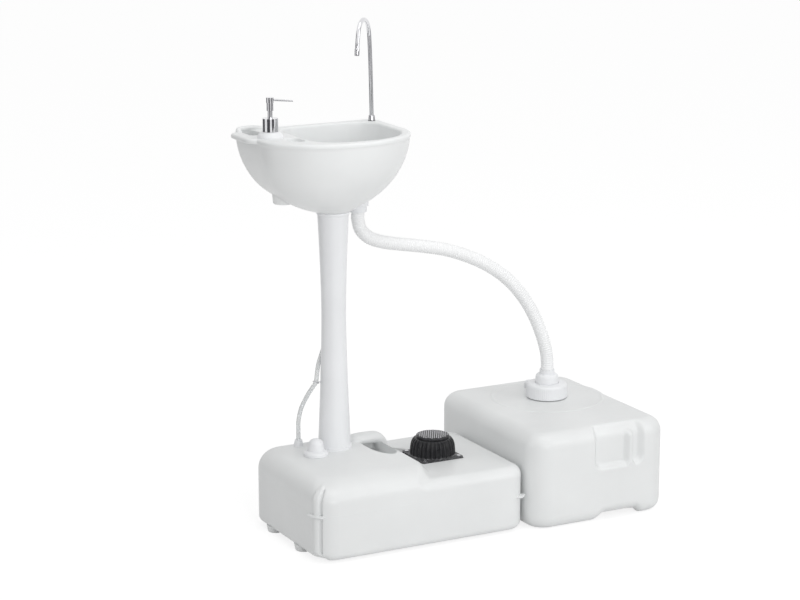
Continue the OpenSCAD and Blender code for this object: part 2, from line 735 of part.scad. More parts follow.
module soap_head() color("silver") at_soap() {
    sleeve_z = soap_top_z + soap_stroke + 1;
    difference() {
        union() {
            translate([0, 0, sleeve_z]) cylinder(h = soap_sleeve_h, r = soap_sleeve_r);
            translate([0, 0, sleeve_z + soap_sleeve_h - 1])
                cylinder(h = soap_knob_h + 1, r = soap_knob_r);
            translate([0, 0, sleeve_z + soap_sleeve_h + soap_knob_h / 2]) rotate([0, 97, 0])
                cylinder(h = soap_nozzle_l, r1 = 2.6, r2 = 1.7);
        }
        translate([0, 0, sleeve_z - 1]) cylinder(h = soap_sleeve_h, r = 2);
    }
}

module soap_spring() color("silver") at_soap()
    coil_spring(3.6, 0.6, rim_z - 24, rim_z + 8, 6, 10, 5);

module soap_dip_tube() color("white") at_soap()
    ring(1.5 + 1, 1.2, rim_z - bottle_depth + 4, rim_z - 26);

// ---------------------------------------------------------------- neck

// Neck's radius at the height z: a waist between two flares
function neck_r(z) = let (waist = base_h + neck_len * waist_share)
    z > waist
        ? neck_waist_r + (neck_top_r - neck_waist_r) * pow((z - waist) / (neck_top_z - waist), 1.6)
        : neck_waist_r + (neck_foot_r - neck_waist_r) * pow((waist - z) / (waist - base_h), 1.5);

module neck() color("white") at_neck() {
    low = base_h + collar_h;
    step = (neck_top_z - low) / 16;
    rotate_extrude() polygon(concat(
        [[plug_foot_r, base_h - plug_depth], [plug_foot_r, low]],
        [for (k = [0:15]) [neck_r(low + k * step), low + k * step]],
        [[neck_r(neck_top_z - collar_h), neck_top_z - collar_h],
            [neck_top_r + collar_reach, neck_top_z - collar_h], [neck_top_r + collar_reach, neck_top_z],
            [plug_top_r, neck_top_z], [plug_top_r, neck_top_z + plug_depth],
            [plug_top_r - neck_wall, neck_top_z + plug_depth], [plug_top_r - neck_wall, neck_top_z - 6]],
        [[neck_waist_r - neck_wall, base_h + neck_len * waist_share],
            [plug_foot_r - neck_wall, low + 8], [plug_foot_r - neck_wall, base_h - plug_depth]]));
}

module neck_ring() color("white") at_neck()
    ring(neck_foot_r + collar_reach, plug_foot_r + seat, base_h, base_h + collar_h);

module hose_clip() color("silver") at_neck() {
    c = supply_route[6];
    loop_r = supply_hose_d / 2 + 1.6;
    reach = norm([c[0], c[1]]) - loop_r;
    rotate(atan2(c[1], c[0])) translate([neck_r(c[2]) - 2, 0, c[2]]) rotate([0, 90, 0])
        cylinder(h = reach + 2.3 - neck_r(c[2]), r = 1.5, $fn = 24);
    translate(c) rotate([0, 19, -6])
        rotate_extrude($fn = 32) translate([loop_r, 0]) circle(r = 1.1, $fn = 16);
}

// ---------------------------------------------------------------- fresh tank

// Height of the fresh tank's top at the place x along it
function base_top(x) = base_h - (base_h - pump_side_h) * ease((x - slope_start) / (slope_end - slope_start));

// Fresh tank's rounded body, drawn in all round by the given wall
module base_body(wall, n_end, n_arc) {
    x0 = base_left + wall;
    x1 = base_right - wall;
    mids = [for (k = [0:5]) slope_start + (slope_end - slope_start) * k / 5];
    loft([for (x = stations(x0, x1, base_corner_r - wall, mids, n_end)) let (
        f = ease((x - slope_start) / (slope_end - slope_start)), right = x > 0 ? 1 : 0,
        front = [for (r = [edge_reach, edge_drop]) r[0] * (1 - f) + r[1] * f - wall]) tank_ring(
        x, x0, x1, base_front + wall, base_back - wall, foot_h + wall, base_top(x) - wall,
        [base_corner_r, base_corner_right_r][right] - wall, base_edge_r - wall,
        base_bottom_r - wall, front, base_end_r[right] - wall, n_arc)]);
}

// Trough under the carrying handle, with a wall's growth where the tank is hollow
module grip_space(grow) {
    a = grip_w / 2 + grow;
    r = grip_corner_r + grow;
    b = grip_mid - grip_front + grow;
    translate([grip_x, 0, base_h - grip_depth - grow]) linear_extrude(grip_depth + grow + 20)
        polygon(concat(
            [for (k = [0:12]) [a * cos(180 + 15 * k), grip_mid + b * sin(180 + 15 * k)]],
            arc([a - r, grip_back + grow - r], r, 0, 90, 4),
            arc([r - a, grip_back + grow - r], r, 90, 180, 4)));
}

// Carrying handle: a round bar that bridges the trough
module grip_bar() {
    half = grip_w / 2 + grip_bar_r;
    z_low = base_h - 6;
    z_top = base_h + grip_rise - grip_bar_r;
    path = [[-half - 4, 0, z_low - 10], [-half + 4, 0, z_top - 4], [-half + 14, 0, z_top],
        [half - 24, 0, z_top], [half - 12, 0, z_top - 3], [half - 4, 0, z_top - 13],
        [half, 0, z_low - 26]];
    translate([grip_x, grip_bar_y, 0]) scale([1, grip_bar_wide, 1])
        solid_tube(path, grip_bar_r, 12, [0, 1, 0]);
}

// Upright rib at the front left corner
module corner_rib() {
    c = base_corner_r - 7;
    translate([base_left + base_corner_r, base_front + base_corner_r, 0]) rotate(205) translate([c, 0, 0]) {
        translate([0, 0, foot_h + 14]) cylinder(h = base_h - foot_h - 40, r = 10);
        translate([0, 0, base_h - 26]) sphere(r = 10);
    }
}

// Flat tab that stands out of a round corner, in the direction given
module moulding_tab(x, r, turn, top) {
    translate([x, base_front + r, top - tab_drop]) rotate(turn) translate([r, 0, 0])
        prism(round_rect(24, 20, 4), 0, 3);
}

module base_tank() color("whitesmoke") at_neck() {
    well_z = base_h - plug_depth - 3;
    difference() {
        union() {
            difference() {
                union() {
                    base_body(0, 8, 5);
                    corner_rib();
                    moulding_tab(base_left + base_corner_r, base_corner_r, 205, base_h);
                    moulding_tab(base_right - base_corner_right_r, base_corner_right_r, 310, pump_side_h);
                    for (x = [base_left + foot_inset[0], base_right - foot_inset[1]])
                        for (y = [base_front + 110, base_back - 80])
                            translate([x, y, 0]) cylinder(h = foot_h + 10, r = foot_r);
                    translate([fill_x, fill_y, base_h - 4])
                        cylinder(h = fill_spout_h + 4, r = fill_spout_r);
                }
                difference() {
                    base_body(tank_wall, 3, 2);
                    grip_space(tank_wall);
                    translate([0, 0, well_z - well_wall])
                        cylinder(h = base_h, r = well_r + well_wall);
                }
            }
            grip_bar();
        }
        difference() {
            grip_space(0);
            grip_bar();
        }
        translate([0, 0, well_z]) cylinder(h = base_h, r = well_r);
        translate([fill_x, fill_y, base_h - 30]) cylinder(h = 60, r = fill_bore_r);
        translate([grommet_x, grommet_y, base_h - 20]) cylinder(h = 40, r = 8);
        translate([pump_x, pump_y, 0])
            prism(round_rect(pump_flange_w + 2, pump_flange_w + 2, 5), pump_seat_z, base_h);
        translate([pump_x, pump_y, pump_seat_z - 20]) cylinder(h = 40, r = pump_hole_r);
        groove = base_corner_r + 1;
        translate([base_left + base_corner_r, base_front + base_corner_r, foot_h + 6]) rotate(220)
            translate([groove, 0, 0]) cylinder(h = base_h - foot_h - 34, r = 3.2);
    }
}

module fill_cap() color("white") at_neck() translate([fill_x, fill_y, 0]) {
    z0 = base_h + join;
    plate = base_h + fill_spout_h + fill_liner_t;
    difference() {
        rotate_extrude() polygon(concat(
            [[0, z0], [fill_cap_r, z0], [fill_cap_r, plate - 1], [fill_cap_r - 2.5, plate + 2],
                [fill_dome_r + 1.5, plate + 4]],
            [for (k = [0:8]) [fill_dome_r * cos(90 * k / 8), plate + 16 + 13 * sin(90 * k / 8)]]));
        translate([0, 0, z0 - 1]) cylinder(h = plate - z0 + 1, r = fill_spout_r + running);
        translate([0, 0, plate - 1]) cylinder(h = 14, r = fill_dome_r - 4);
    }
}

module fill_cap_liner() color("dimgray") at_neck() translate([fill_x, fill_y, 0])
    ring(fill_spout_r - 0.5, fill_bore_r - 1, base_h + fill_spout_h,
        base_h + fill_spout_h + fill_liner_t);

module hose_grommet() color("white") at_neck() translate([grommet_x, grommet_y, 0]) difference() {
    union() {
        translate([0, 0, base_h]) cylinder(h = 12, r1 = 10, r2 = 7.5);
        translate([0, 0, base_h - 20]) cylinder(h = 21, r = 8 - running);
    }
    translate([0, 0, base_h - 21]) cylinder(h = 40, r = 3);
}

// ---------------------------------------------------------------- foot pump

module at_pump() {
    at_neck() translate([pump_x, pump_y, 0]) children();
}

module pump_flange() color("#202020") at_pump() difference() {
    prism(round_rect(pump_flange_w, pump_flange_w, 6), pump_seat_z, pump_seat_z + flange_t);
    translate([0, 0, pump_seat_z - 1]) cylinder(h = flange_t + 2, r = 12);
    for (x = [-1, 1]) for (y = [-1, 1])
        translate([x, y, 0] * (pump_flange_w / 2 - screw_inset) + [0, 0, pump_seat_z - 1])
            cylinder(h = flange_t + 2, r = 2.1);
}

module pump_screws() color("silver") at_pump()
    for (x = [-1, 1]) for (y = [-1, 1])
        translate([x, y, 0] * (pump_flange_w / 2 - screw_inset)) {
            translate([0, 0, pump_seat_z]) cylinder(h = flange_t, r = 2);
            translate([0, 0, pump_seat_z + flange_t]) cylinder(h = 1.6, r = 4);
        }

module pump_tread() color("#181818") at_pump() {
    difference() {
        translate([0, 0, pump_top_z - tread_t]) cylinder(h = tread_t, r = tread_r);
        translate([0, 0, pump_top_z - tread_t - 1]) cylinder(h = 2.5, r = tread_r - 8);
    }
    for (r = [9, 18, 27]) for (k = [0:r / 1.5 - 1]) rotate(360 * k / (r / 1.5))
        translate([r, 0, pump_top_z - 0.2]) cylinder(h = 1.4, r = 1.6, $fn = 8);
}

// Fluted rubber wall of the pump, from the flange up to the tread
module pump_bellows() color("#202020") at_pump() {
    h = pump_rise - tread_t - join;
    n = 2 * pump_flutes;
    rings = [for (k = [0:6]) let (t = k / 6, r = tread_r + (pump_r - tread_r) * cos(90 * pow(t, 1.3)),
        z = bellows_z + h * sin(90 * t)) [for (j = [0:n - 1]) let (a = 360 * j / n,
            rr = r - (j % 2) * 2.2 * (1 - pow(t, 4))) [rr * cos(a), rr * sin(a), z]]];
    difference() {
        loft(rings);
        translate([0, 0, bellows_z - 1]) cylinder(h = h + 2, r = tread_r - bellows_wall - 4);
    }
}

module pump_spring() color("silver") at_pump()
    coil_spring(18, 1.3, bellows_z, pump_top_z - tread_t + 1.5, 4, 14, 6);

module pump_chamber() color("#303030") at_pump() difference() {
    union() {
        translate([0, 0, pump_seat_z - chamber_h]) cylinder(h = chamber_h - 0.5, r = chamber_r);
        translate([-chamber_r - 2, 0, outlet_z]) rotate([0, 90, 0]) cylinder(h = 8, r = 5);
    }
    translate([0, 0, pump_seat_z - chamber_h + 4]) cylinder(h = chamber_h, r = chamber_r - 3);
    translate([-chamber_r - 3, 0, outlet_z]) rotate([0, 90, 0]) cylinder(h = 10, r = 3);
    translate([0, 0, pump_seat_z - chamber_h - 1]) cylinder(h = 6, r = 4.5);
}

module pump_valves() color("orangered") at_pump() {
    translate([0, 0, pump_seat_z - chamber_h + 4]) cylinder(h = 2.5, r = 9);
    translate([-chamber_r - 1, 0, outlet_z]) rotate([0, 90, 0]) cylinder(h = 6, r = 3 - running);
}

module suction_tube() color("white") at_pump()
    ring(4.5 - running, 3, foot_h + tank_wall + 9, pump_seat_z - chamber_h + 3.5);

module suction_strainer() color("#404040") at_pump() difference() {
    translate([0, 0, foot_h + tank_wall]) cylinder(h = 12, r = 9);
    translate([0, 0, foot_h + tank_wall + 9]) cylinder(h = 5, r = 4.5);
    for (k = [0:5]) rotate(60 * k) translate([4, -1, foot_h + tank_wall + 1])
        cube([6, 2, 6]);
}

module inner_hose() color("ghostwhite") at_neck()
    solid_tube(even_steps(inner_route, 30), 4.5, 8, [0, 0, 1]);

// ---------------------------------------------------------------- hoses

module supply_hose() color("ghostwhite") at_neck()
    solid_tube(even_steps(supply_route, 60), supply_hose_d / 2, 8, [1, 0, 0]);

module drain_hose() color("white") at_neck()
    ribbed_hose(drain_route, drain_hose_ribs, drain_hose_d / 2, drain_hose_d / 2 - 1.6,
        drain_hose_bore / 2, 8, [0, 1, 0]);

module hose_cuff_top() color("white") at_neck() translate([drain_x, drain_y, 0]) difference() {
    translate([0, 0, drain_start_z]) cylinder(h = 13, r = drain_tail_r + 2);
    translate([0, 0, drain_end_z]) cylinder(h = 14, r = drain_tail_r + running);
    translate([0, 0, drain_start_z - 1]) cylinder(h = 14, r = drain_hose_bore / 2);
}

module hose_cuff_bottom() color("white") at_neck() translate([cap_x, cap_y, 0])
    ring(16, drain_hose_bore / 2, swivel_top_z, swivel_top_z + 13);

// ---------------------------------------------------------------- waste tank

module waste_body(wall, n_end, n_arc) {
    x0 = waste_left + wall;
    x1 = waste_right - wall;
    loft([for (x = stations(x0, x1, waste_corner_r - wall, [(x0 + x1) / 2], n_end)) tank_ring(
        x, x0, x1, waste_front + wall, waste_back - wall, wall, waste_h - wall,
        waste_corner_r - wall, waste_edge_r - wall, waste_bottom_r - wall,
        [waste_edge_r - wall, waste_edge_r - wall], waste_edge_r - wall, n_arc)]);
}

// Hand recess in the front face
module hand_recess(grow) {
    z = waste_h - recess_top - recess_h / 2;
    translate([recess_x, waste_front + recess_depth + grow, z]) rotate([90, 0, 0])
        linear_extrude(recess_depth + grow + 1)
            polygon(round_rect(recess_w + 2 * grow, recess_h + 2 * grow, recess_corner_r + grow));
}

// Channel across the underside that leaves a foot on each side
module relief(grow) {
    translate([relief_x, 0, 0]) rotate([90, 0, 0]) translate([0, 0, -waste_back - 1])
        linear_extrude(waste_w + 2) polygon([
            [-relief_w / 2 - grow, -1], [-relief_w / 2 - grow + 12, relief_h * 0.8 + grow],
            [-relief_w / 2 - grow + 24, relief_h + grow], [relief_w / 2 + grow - 20, relief_h + grow],
            [relief_w / 2 + grow - 8, relief_h * 0.8 + grow], [relief_w / 2 + grow, -1]]);
}

module waste_tank() color("whitesmoke") at_neck() {
    difference() {
        union() {
            waste_body(0, 8, 6);
            translate([cap_x, cap_y, waste_h - 6]) cylinder(h = spout_h + 6, r = spout_r);
            translate([cap_x, cap_y, waste_h]) rotate_extrude($fn = 96)
                translate([ring_r, 0]) circle(r = 2, $fn = 16);
        }
        difference() {
            waste_body(tank_wall, 3, 2);
            hand_recess(tank_wall);
            relief(tank_wall);
        }
        hand_recess(0);
        relief(0);
        translate([cap_x, cap_y, waste_h - 20]) cylinder(h = 60, r = spout_bore_r);
        translate([vent_x, vent_y, waste_h - 20]) cylinder(h = 40, r = vent_r - 3);
    }
    translate([recess_x + recess_w / 2 - handle_inset, waste_front + recess_depth - 1,
        waste_h - recess_top - recess_h - 2]) cylinder(h = recess_h - 24, r = 8);
}

module at_cap() {
    at_neck() translate([cap_x, cap_y, 0]) children();
}

module waste_seal() color("dimgray") at_cap()
    ring(spout_r, spout_bore_r - 3, waste_rim_z, waste_rim_z + seal_t);

module waste_swivel() color("white") at_cap() difference() {
    union() {
        translate([0, 0, waste_rim_z + seal_t]) cylinder(h = swivel_flange_t, r = swivel_flange_r);
        translate([0, 0, waste_rim_z + seal_t]) cylinder(h = swivel_top_z - waste_rim_z - seal_t,
            r = swivel_r);
    }
    translate([0, 0, waste_rim_z]) cylinder(h = 80, r = drain_hose_bore / 2);
}

module waste_cap_liner() color("dimgray") at_cap() {
    z = waste_rim_z + seal_t + swivel_flange_t;
    ring(swivel_flange_r, swivel_r + running, z, z + liner_t);
}

module waste_cap() color("white") at_cap() {
    liner_top = waste_rim_z + seal_t + swivel_flange_t + liner_t;
    top = liner_top + cap_top_t;
    outline = [for (k = [0:2 * knurls - 1]) let (r = waste_cap_r - (k % 2) * 1.2, a = 180 * k / knurls)
        [r * cos(a), r * sin(a)]];
    difference() {
        union() {
            prism(outline, waste_cap_z, top - 3);
            translate([0, 0, top - 3]) cylinder(h = 3, r1 = waste_cap_r - 1.4, r2 = waste_cap_r - 5);
        }
        translate([0, 0, waste_cap_z - 1]) cylinder(h = liner_top - waste_cap_z + 1,
            r = spout_r + running);
        translate([0, 0, waste_cap_z]) cylinder(h = 60, r = swivel_r + running);
    }
}

module waste_vent() color("white") at_neck() translate([vent_x, vent_y, 0]) {
    translate([0, 0, waste_h - 8]) cylinder(h = 9, r = vent_r - 3 - running);
    translate([0, 0, waste_h]) cylinder(h = 11, r = vent_r + 2);
    translate([0, 0, waste_h + 11]) cylinder(h = 5, r1 = vent_r + 2, r2 = vent_r - 3);
}

basin();
drain_strainer();
drain_gasket();
drain_tail();
drain_nut();
faucet_tube();
faucet_nozzle();
faucet_collar();
faucet_shank();
faucet_washer();
faucet_nut();
faucet_barb();
soap_bottle();
soap_gasket();
soap_collar();
soap_barrel();
soap_stem();
soap_head();
soap_spring();
soap_dip_tube();
neck();
neck_ring();
base_tank();
fill_cap();
fill_cap_liner();
pump_flange();
pump_screws();
pump_tread();
pump_bellows();
pump_spring();
pump_chamber();
pump_valves();
suction_tube();
suction_strainer();
inner_hose();
hose_grommet();
supply_hose();
hose_clip();
drain_hose();
hose_cuff_top();
hose_cuff_bottom();
waste_swivel();
waste_seal();
waste_cap_liner();
waste_cap();
waste_vent();
waste_tank();
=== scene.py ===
"""Visual model of the camp wash stand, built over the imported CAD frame. Route points and outlines
are in millimetres from the neck's axis, as in part.scad; at() turns them into frame metres."""
import json
import math

import bmesh
import bpy
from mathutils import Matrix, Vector


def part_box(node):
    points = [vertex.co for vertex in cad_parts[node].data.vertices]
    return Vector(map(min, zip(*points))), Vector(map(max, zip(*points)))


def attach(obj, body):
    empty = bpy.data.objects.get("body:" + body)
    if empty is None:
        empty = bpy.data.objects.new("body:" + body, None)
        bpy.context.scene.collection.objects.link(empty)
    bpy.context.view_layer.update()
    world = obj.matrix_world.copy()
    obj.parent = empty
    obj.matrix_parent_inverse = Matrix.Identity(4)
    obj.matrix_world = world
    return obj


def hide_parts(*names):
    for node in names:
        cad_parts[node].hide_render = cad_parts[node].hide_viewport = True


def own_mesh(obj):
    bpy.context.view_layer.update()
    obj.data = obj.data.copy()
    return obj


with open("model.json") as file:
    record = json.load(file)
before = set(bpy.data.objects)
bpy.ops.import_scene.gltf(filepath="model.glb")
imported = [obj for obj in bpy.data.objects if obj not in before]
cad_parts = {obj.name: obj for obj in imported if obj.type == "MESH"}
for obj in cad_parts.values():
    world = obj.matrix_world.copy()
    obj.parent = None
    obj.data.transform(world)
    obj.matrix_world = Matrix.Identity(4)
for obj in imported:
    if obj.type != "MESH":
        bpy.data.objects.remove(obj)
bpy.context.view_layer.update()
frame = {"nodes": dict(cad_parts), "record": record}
neck_low, neck_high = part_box("neck")
NECK_X, NECK_Y = (neck_low[0] + neck_high[0]) / 2, (neck_low[1] + neck_high[1]) / 2


def at(x, y, z):
    """Frame metres of a point in millimetres from the neck's axis"""
    return Vector((x / 1000 + NECK_X, y / 1000 + NECK_Y, z / 1000))


def ease(t):
    """Smooth step from 0 to 1 as t goes from 0 to 1"""
    t = max(0.0, min(1.0, t))
    return t * t * (3 - 2 * t)


def wave(turn):
    """From 0 to 1 and back over a full turn, in radians"""
    return 0.5 - 0.5 * math.cos(turn)


def polar(x, y, r, turn):
    """Point at a distance and a turn, in radians, from a centre"""
    return x + r * math.cos(turn), y + r * math.sin(turn)


def between(a, b, t):
    """Point in plan that lies the share t of the way from a to b"""
    return a[0] + (b[0] - a[0]) * t, a[1] + (b[1] - a[1]) * t


def quarter(n, first=0):
    """Sine and cosine at even steps of a quarter turn, for a rounded edge"""
    turns = [math.radians(90 * k / n) for k in range(first, n + 1)]
    return [(math.sin(turn), math.cos(turn)) for turn in turns]


def added(name, data):
    """New object in the scene"""
    obj = bpy.data.objects.new(name, data)
    bpy.context.collection.objects.link(obj)
    return obj


# ------------------------------------------------------------------ camera

CAMERA = (-2090, -4236, 1599)          # fitted to the outlines in the photograph
CAMERA_TILT, CAMERA_TURN = 76.55, -27.89

camera_data = bpy.data.cameras.new("camera")
camera_data.lens = 108
camera_data.sensor_width = 36
camera_data.sensor_fit = "HORIZONTAL"
camera_data.clip_end = 50
camera = added("camera", camera_data)
camera.location = at(*CAMERA)
camera.rotation_euler = (math.radians(CAMERA_TILT), 0, math.radians(CAMERA_TURN))
bpy.context.scene.camera = camera

# ------------------------------------------------------------------ materials


def with_alpha(value):
    """A colour of three numbers gets its fourth, and anything else stays as it is"""
    return (*value, 1) if isinstance(value, tuple) and len(value) == 3 else value


def shade(color, factor, most=1.0):
    return tuple(min(most, c * factor) for c in color)


class Nodes:
    """Short way to build a material's node tree"""

    def __init__(self, name):
        self.material = bpy.data.materials.new(name)
        self.material.use_nodes = True
        self.tree = self.material.node_tree
        self.shader = self.tree.nodes["Principled BSDF"]
        self.coords = self.tree.nodes.new("ShaderNodeTexCoord").outputs["Object"]

    def add(self, kind, inputs=None, **settings):
        node = self.tree.nodes.new("ShaderNode" + kind)
        for key, value in settings.items():
            setattr(node, key, value)
        for key, value in (inputs or {}).items():
            self.link(value, node.inputs[key])
        return node

    def link(self, value, socket):
        if isinstance(value, bpy.types.NodeSocket):
            self.tree.links.new(value, socket)
        else:
            socket.default_value = value

    def noise(self, scale, detail=2.0, stretch=None, rough=0.5):
        """Noise fixed to the piece, its scale in swells per metre"""
        vector = self.coords
        if stretch:
            mapping = self.add("Mapping", {"Vector": self.coords, "Scale": stretch})
            vector = mapping.outputs["Vector"]
        return self.add("TexNoise", {"Vector": vector, "Scale": scale, "Detail": detail,
                                     "Roughness": rough}).outputs["Fac"]

    def ramp(self, value, low, high, to_low=0.0, to_high=1.0):
        return self.add("MapRange", {"Value": value, "From Min": low, "From Max": high,
                                     "To Min": to_low, "To Max": to_high}).outputs["Result"]

    def mix(self, fac, a, b):
        node = self.add("Mix", data_type="RGBA")
        self.link(fac, node.inputs[0])
        self.link(with_alpha(a), node.inputs[6])
        self.link(with_alpha(b), node.inputs[7])
        return node.outputs[2]

    def math(self, operation, a, b):
        return self.add("Math", {0: a, 1: b}, operation=operation).outputs[0]

    def bump(self, height, distance, normal=None):
        inputs = {"Height": height, "Distance": distance, "Strength": 1.0}
        if normal is not None:
            inputs["Normal"] = normal
        return self.add("Bump", inputs).outputs["Normal"]

    def pointiness(self):
        return self.add("NewGeometry").outputs["Pointiness"]

    def set(self, **inputs):
        """Links or sets the shader's inputs; an underscore stands for a space in their names"""
        for key, value in inputs.items():
            self.link(with_alpha(value), self.shader.inputs[key.replace("_", " ")])


def plastic(name, color, rough, grain=0.00006, sink=0.0005, dirt=0.10, spread=0.035):
    """Moulded polyethylene: fine orange-peel grain, slow sink waves, faint handling marks, and
    painted shade in its hollows
    """
    n = Nodes(name)
    cloud = n.noise(7.0, detail=3.0)
    speck = n.noise(240.0)
    scuff = n.noise(26.0, detail=6.0, stretch=(1, 1, 3.2), rough=0.7)
    base = n.mix(n.ramp(cloud, 0.3, 0.7), shade(color, 1 - spread),
                 shade(color, 1 + spread * 0.6, most=0.93))
    base = n.mix(n.ramp(speck, 0.60, 0.80, 0.0, dirt), base, shade(color, 0.86))
    # Hollows and folds, found by low pointiness, are painted darker: painted shade
    crease_shade = n.ramp(n.pointiness(), 0.42, 0.50, 0.10, 0.0)
    base = n.mix(crease_shade, base, shade(color, 0.72))
    roughness = n.math("ADD", n.ramp(scuff, 0.3, 0.7, rough - 0.06, rough + 0.08),
                       n.ramp(speck, 0.3, 0.7, -0.02, 0.02))
    waves = n.bump(n.noise(16.0), sink)
    fine = n.bump(n.noise(900.0, detail=3.0, rough=0.6), grain, waves)
    n.set(Base_Color=base, Roughness=roughness, Normal=fine, Specular_IOR_Level=0.45, IOR=1.5)
    return n.material


def metal(name, color, rough, scratches=0.000002, stretch=(1, 1, 1)):
    n = Nodes(name)
    cloud = n.noise(40.0, detail=3.0)
    lines = n.noise(120.0, stretch=stretch)
    base = n.mix(n.ramp(cloud, 0.3, 0.7), shade(color, 0.94), color)
    roughness = n.ramp(lines, 0.25, 0.75, rough * 0.8, rough * 1.3)
    n.set(Base_Color=base, Roughness=roughness, Normal=n.bump(lines, scratches), Metallic=1.0)
    return n.material


def rubber(name, color, rough, grain=0.00008, wear_and_highlight=0.5, scale=500.0, wear_and_highlight_colour=None, highlight_above=None):
    """Rubber or black plastic; its convex edges are painted in patches towards a lighter given
    colour, part wear and part painted highlight, and the tops of dots that stand above a given
    height, in metres, get a painted highlight"""
    n = Nodes(name)
    cloud = n.noise(30.0, detail=3.0)
    dust = n.noise(90.0, detail=5.0)
    base = n.mix(n.ramp(cloud, 0.3, 0.7), shade(color, 0.8), shade(color, 1.15))
    # Convex edges painted lighter in patches: part wear, part painted highlight
    wear_and_highlight_colour = wear_and_highlight_colour or tuple(min(0.9, c * 2.2 + 0.02) for c in color)
    edges = n.math("MULTIPLY", n.ramp(n.pointiness(), 0.52, 0.62), wear_and_highlight)
    edge_breakup = n.ramp(n.noise(210.0, detail=3.0), 0.42, 0.62, 0.25, 1.0)
    base = n.mix(n.math("MULTIPLY", edges, edge_breakup), base, wear_and_highlight_colour)
    base = n.mix(n.ramp(dust, 0.55, 0.85, 0.0, 0.12), base, (0.25, 0.25, 0.25))
    if highlight_above:
        # Dot tops above the given height are painted light grey: a painted highlight
        height = n.add("SeparateXYZ", {"Vector": n.coords}).outputs["Z"]
        dot_highlight = n.ramp(height, highlight_above, highlight_above + 0.0005, 0.0, 0.9)
        base = n.mix(dot_highlight, base, (0.66, 0.66, 0.68))
    n.set(Base_Color=base, Roughness=n.ramp(dust, 0.3, 0.7, rough - 0.06, rough + 0.1),
          Normal=n.bump(n.noise(scale, detail=3.0), grain), Specular_IOR_Level=0.25)
    return n.material


def clear_hose(name):
    n = Nodes(name)
    cloud = n.noise(35.0, detail=3.0)
    base = n.mix(n.ramp(cloud, 0.3, 0.7), (0.84, 0.86, 0.87), (0.90, 0.91, 0.91))
    n.set(Base_Color=base, Roughness=n.ramp(n.noise(60.0, detail=4.0), 0.3, 0.7, 0.18, 0.32),
          Normal=n.bump(n.noise(220.0, stretch=(1, 1, 0.2)), 0.00004),
          Transmission_Weight=0.35, IOR=1.45)
    return n.material


BLACK = (0.012, 0.012, 0.014)
# The last entry is the light grey that convex edges are painted: part wear, part painted highlight
BLACK_PLASTIC = {"rough": 0.34, "grain": 0.00004, "scale": 900.0, "wear_and_highlight_colour": (0.20, 0.20, 0.21)}
DOTS_HIGHLIGHT_FROM = 0.1814                # metres: the upper half of the tread's dots, painted light grey as a painted highlight
MATERIALS = {
    "hdpe_tank": plastic("hdpe_tank", (0.80, 0.812, 0.812), 0.38),
    "basin_plastic": plastic("basin_plastic", (0.85, 0.862, 0.862), 0.36,
                             grain=0.00003, sink=0.0003, dirt=0.06),
    "hdpe_white": plastic("hdpe_white", (0.86, 0.87, 0.885), 0.36,
                          grain=0.00004, sink=0.0002, dirt=0.06),
    "hose_white": plastic("hose_white", (0.91, 0.915, 0.92), 0.34,
                          grain=0.00002, sink=0.00005, dirt=0.02, spread=0.02),
    "hose_clear": clear_hose("hose_clear"),
    "chrome": metal("chrome", (0.76, 0.76, 0.78), 0.10),
    "steel": metal("steel", (0.68, 0.68, 0.70), 0.28, scratches=0.00003, stretch=(1, 1, 12)),
    # Black rubber: convex edges painted light grey, part wear and part painted highlight
    "black_rubber": rubber("black_rubber", BLACK, 0.30, grain=0.00006, wear_and_highlight=1.0,
                           wear_and_highlight_colour=(0.42, 0.42, 0.43)),
    "black_plastic": rubber("black_plastic", (0.014, 0.014, 0.016), **BLACK_PLASTIC),
    "seal_rubber": rubber("seal_rubber", (0.10, 0.10, 0.10), 0.7),
    "valve_rubber": rubber("valve_rubber", (0.45, 0.08, 0.03), 0.6),
}
# Tread material whose dot tops get a painted highlight
DOTTED = rubber("tread_dots", BLACK, highlight_above=DOTS_HIGHLIGHT_FROM, **BLACK_PLASTIC)

for subpart in frame["record"]["subparts"]:
    node = frame["nodes"][subpart["node"]]
    if not node.material_slots:
        node.data.materials.append(None)
    for place in node.material_slots:
        place.material = MATERIALS[subpart["material_slot"]]

# ------------------------------------------------------------------ mesh helpers
# A shape is a pair of points and faces, in millimetres from the neck's axis.


def metre_mesh(name, points, faces):
    data = bpy.data.meshes.new(name)
    data.from_pydata(points, [], faces)
    data.validate()
    return data


def mesh_of(name, points, faces):
    return metre_mesh(name, [at(*p) for p in points], faces)


def turn_outwards(data, weld=None):
    """Turns all faces outwards, after joining points that are closer than weld, in metres"""
    work = bmesh.new()
    work.from_mesh(data)
    if weld:
        bmesh.ops.remove_doubles(work, verts=work.verts, dist=weld)
    bmesh.ops.recalc_face_normals(work, faces=work.faces)
    work.to_mesh(data)
    work.free()


def piece(name, form, slot, body, *nodes, sharp=38, material=None):
    """Puts a mesh or shape in the scene as a piece that rides on a body and replaces CAD nodes"""
    data = mesh_of(name, *form) if isinstance(form, tuple) else form
    turn_outwards(data, weld=1e-6)
    data.shade_smooth()
    data.set_sharp_from_angle(angle=math.radians(sharp))
    obj = added(name, data)
    data.materials.clear()
    data.materials.append(material or MATERIALS[slot])
    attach(obj, body)
    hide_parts(*nodes)
    return obj


def loft(rings):
    """Solid through rings that all have the same number of points"""
    n = len(rings[0])
    last = (len(rings) - 1) * n
    faces = [(i * n + j, i * n + (j + 1) % n, (i + 1) * n + (j + 1) % n, (i + 1) * n + j)
             for i in range(len(rings) - 1) for j in range(n)]
    faces.append(tuple(range(n - 1, -1, -1)))
    faces.append(tuple(last + j for j in range(n)))
    return [p for ring in rings for p in ring], faces


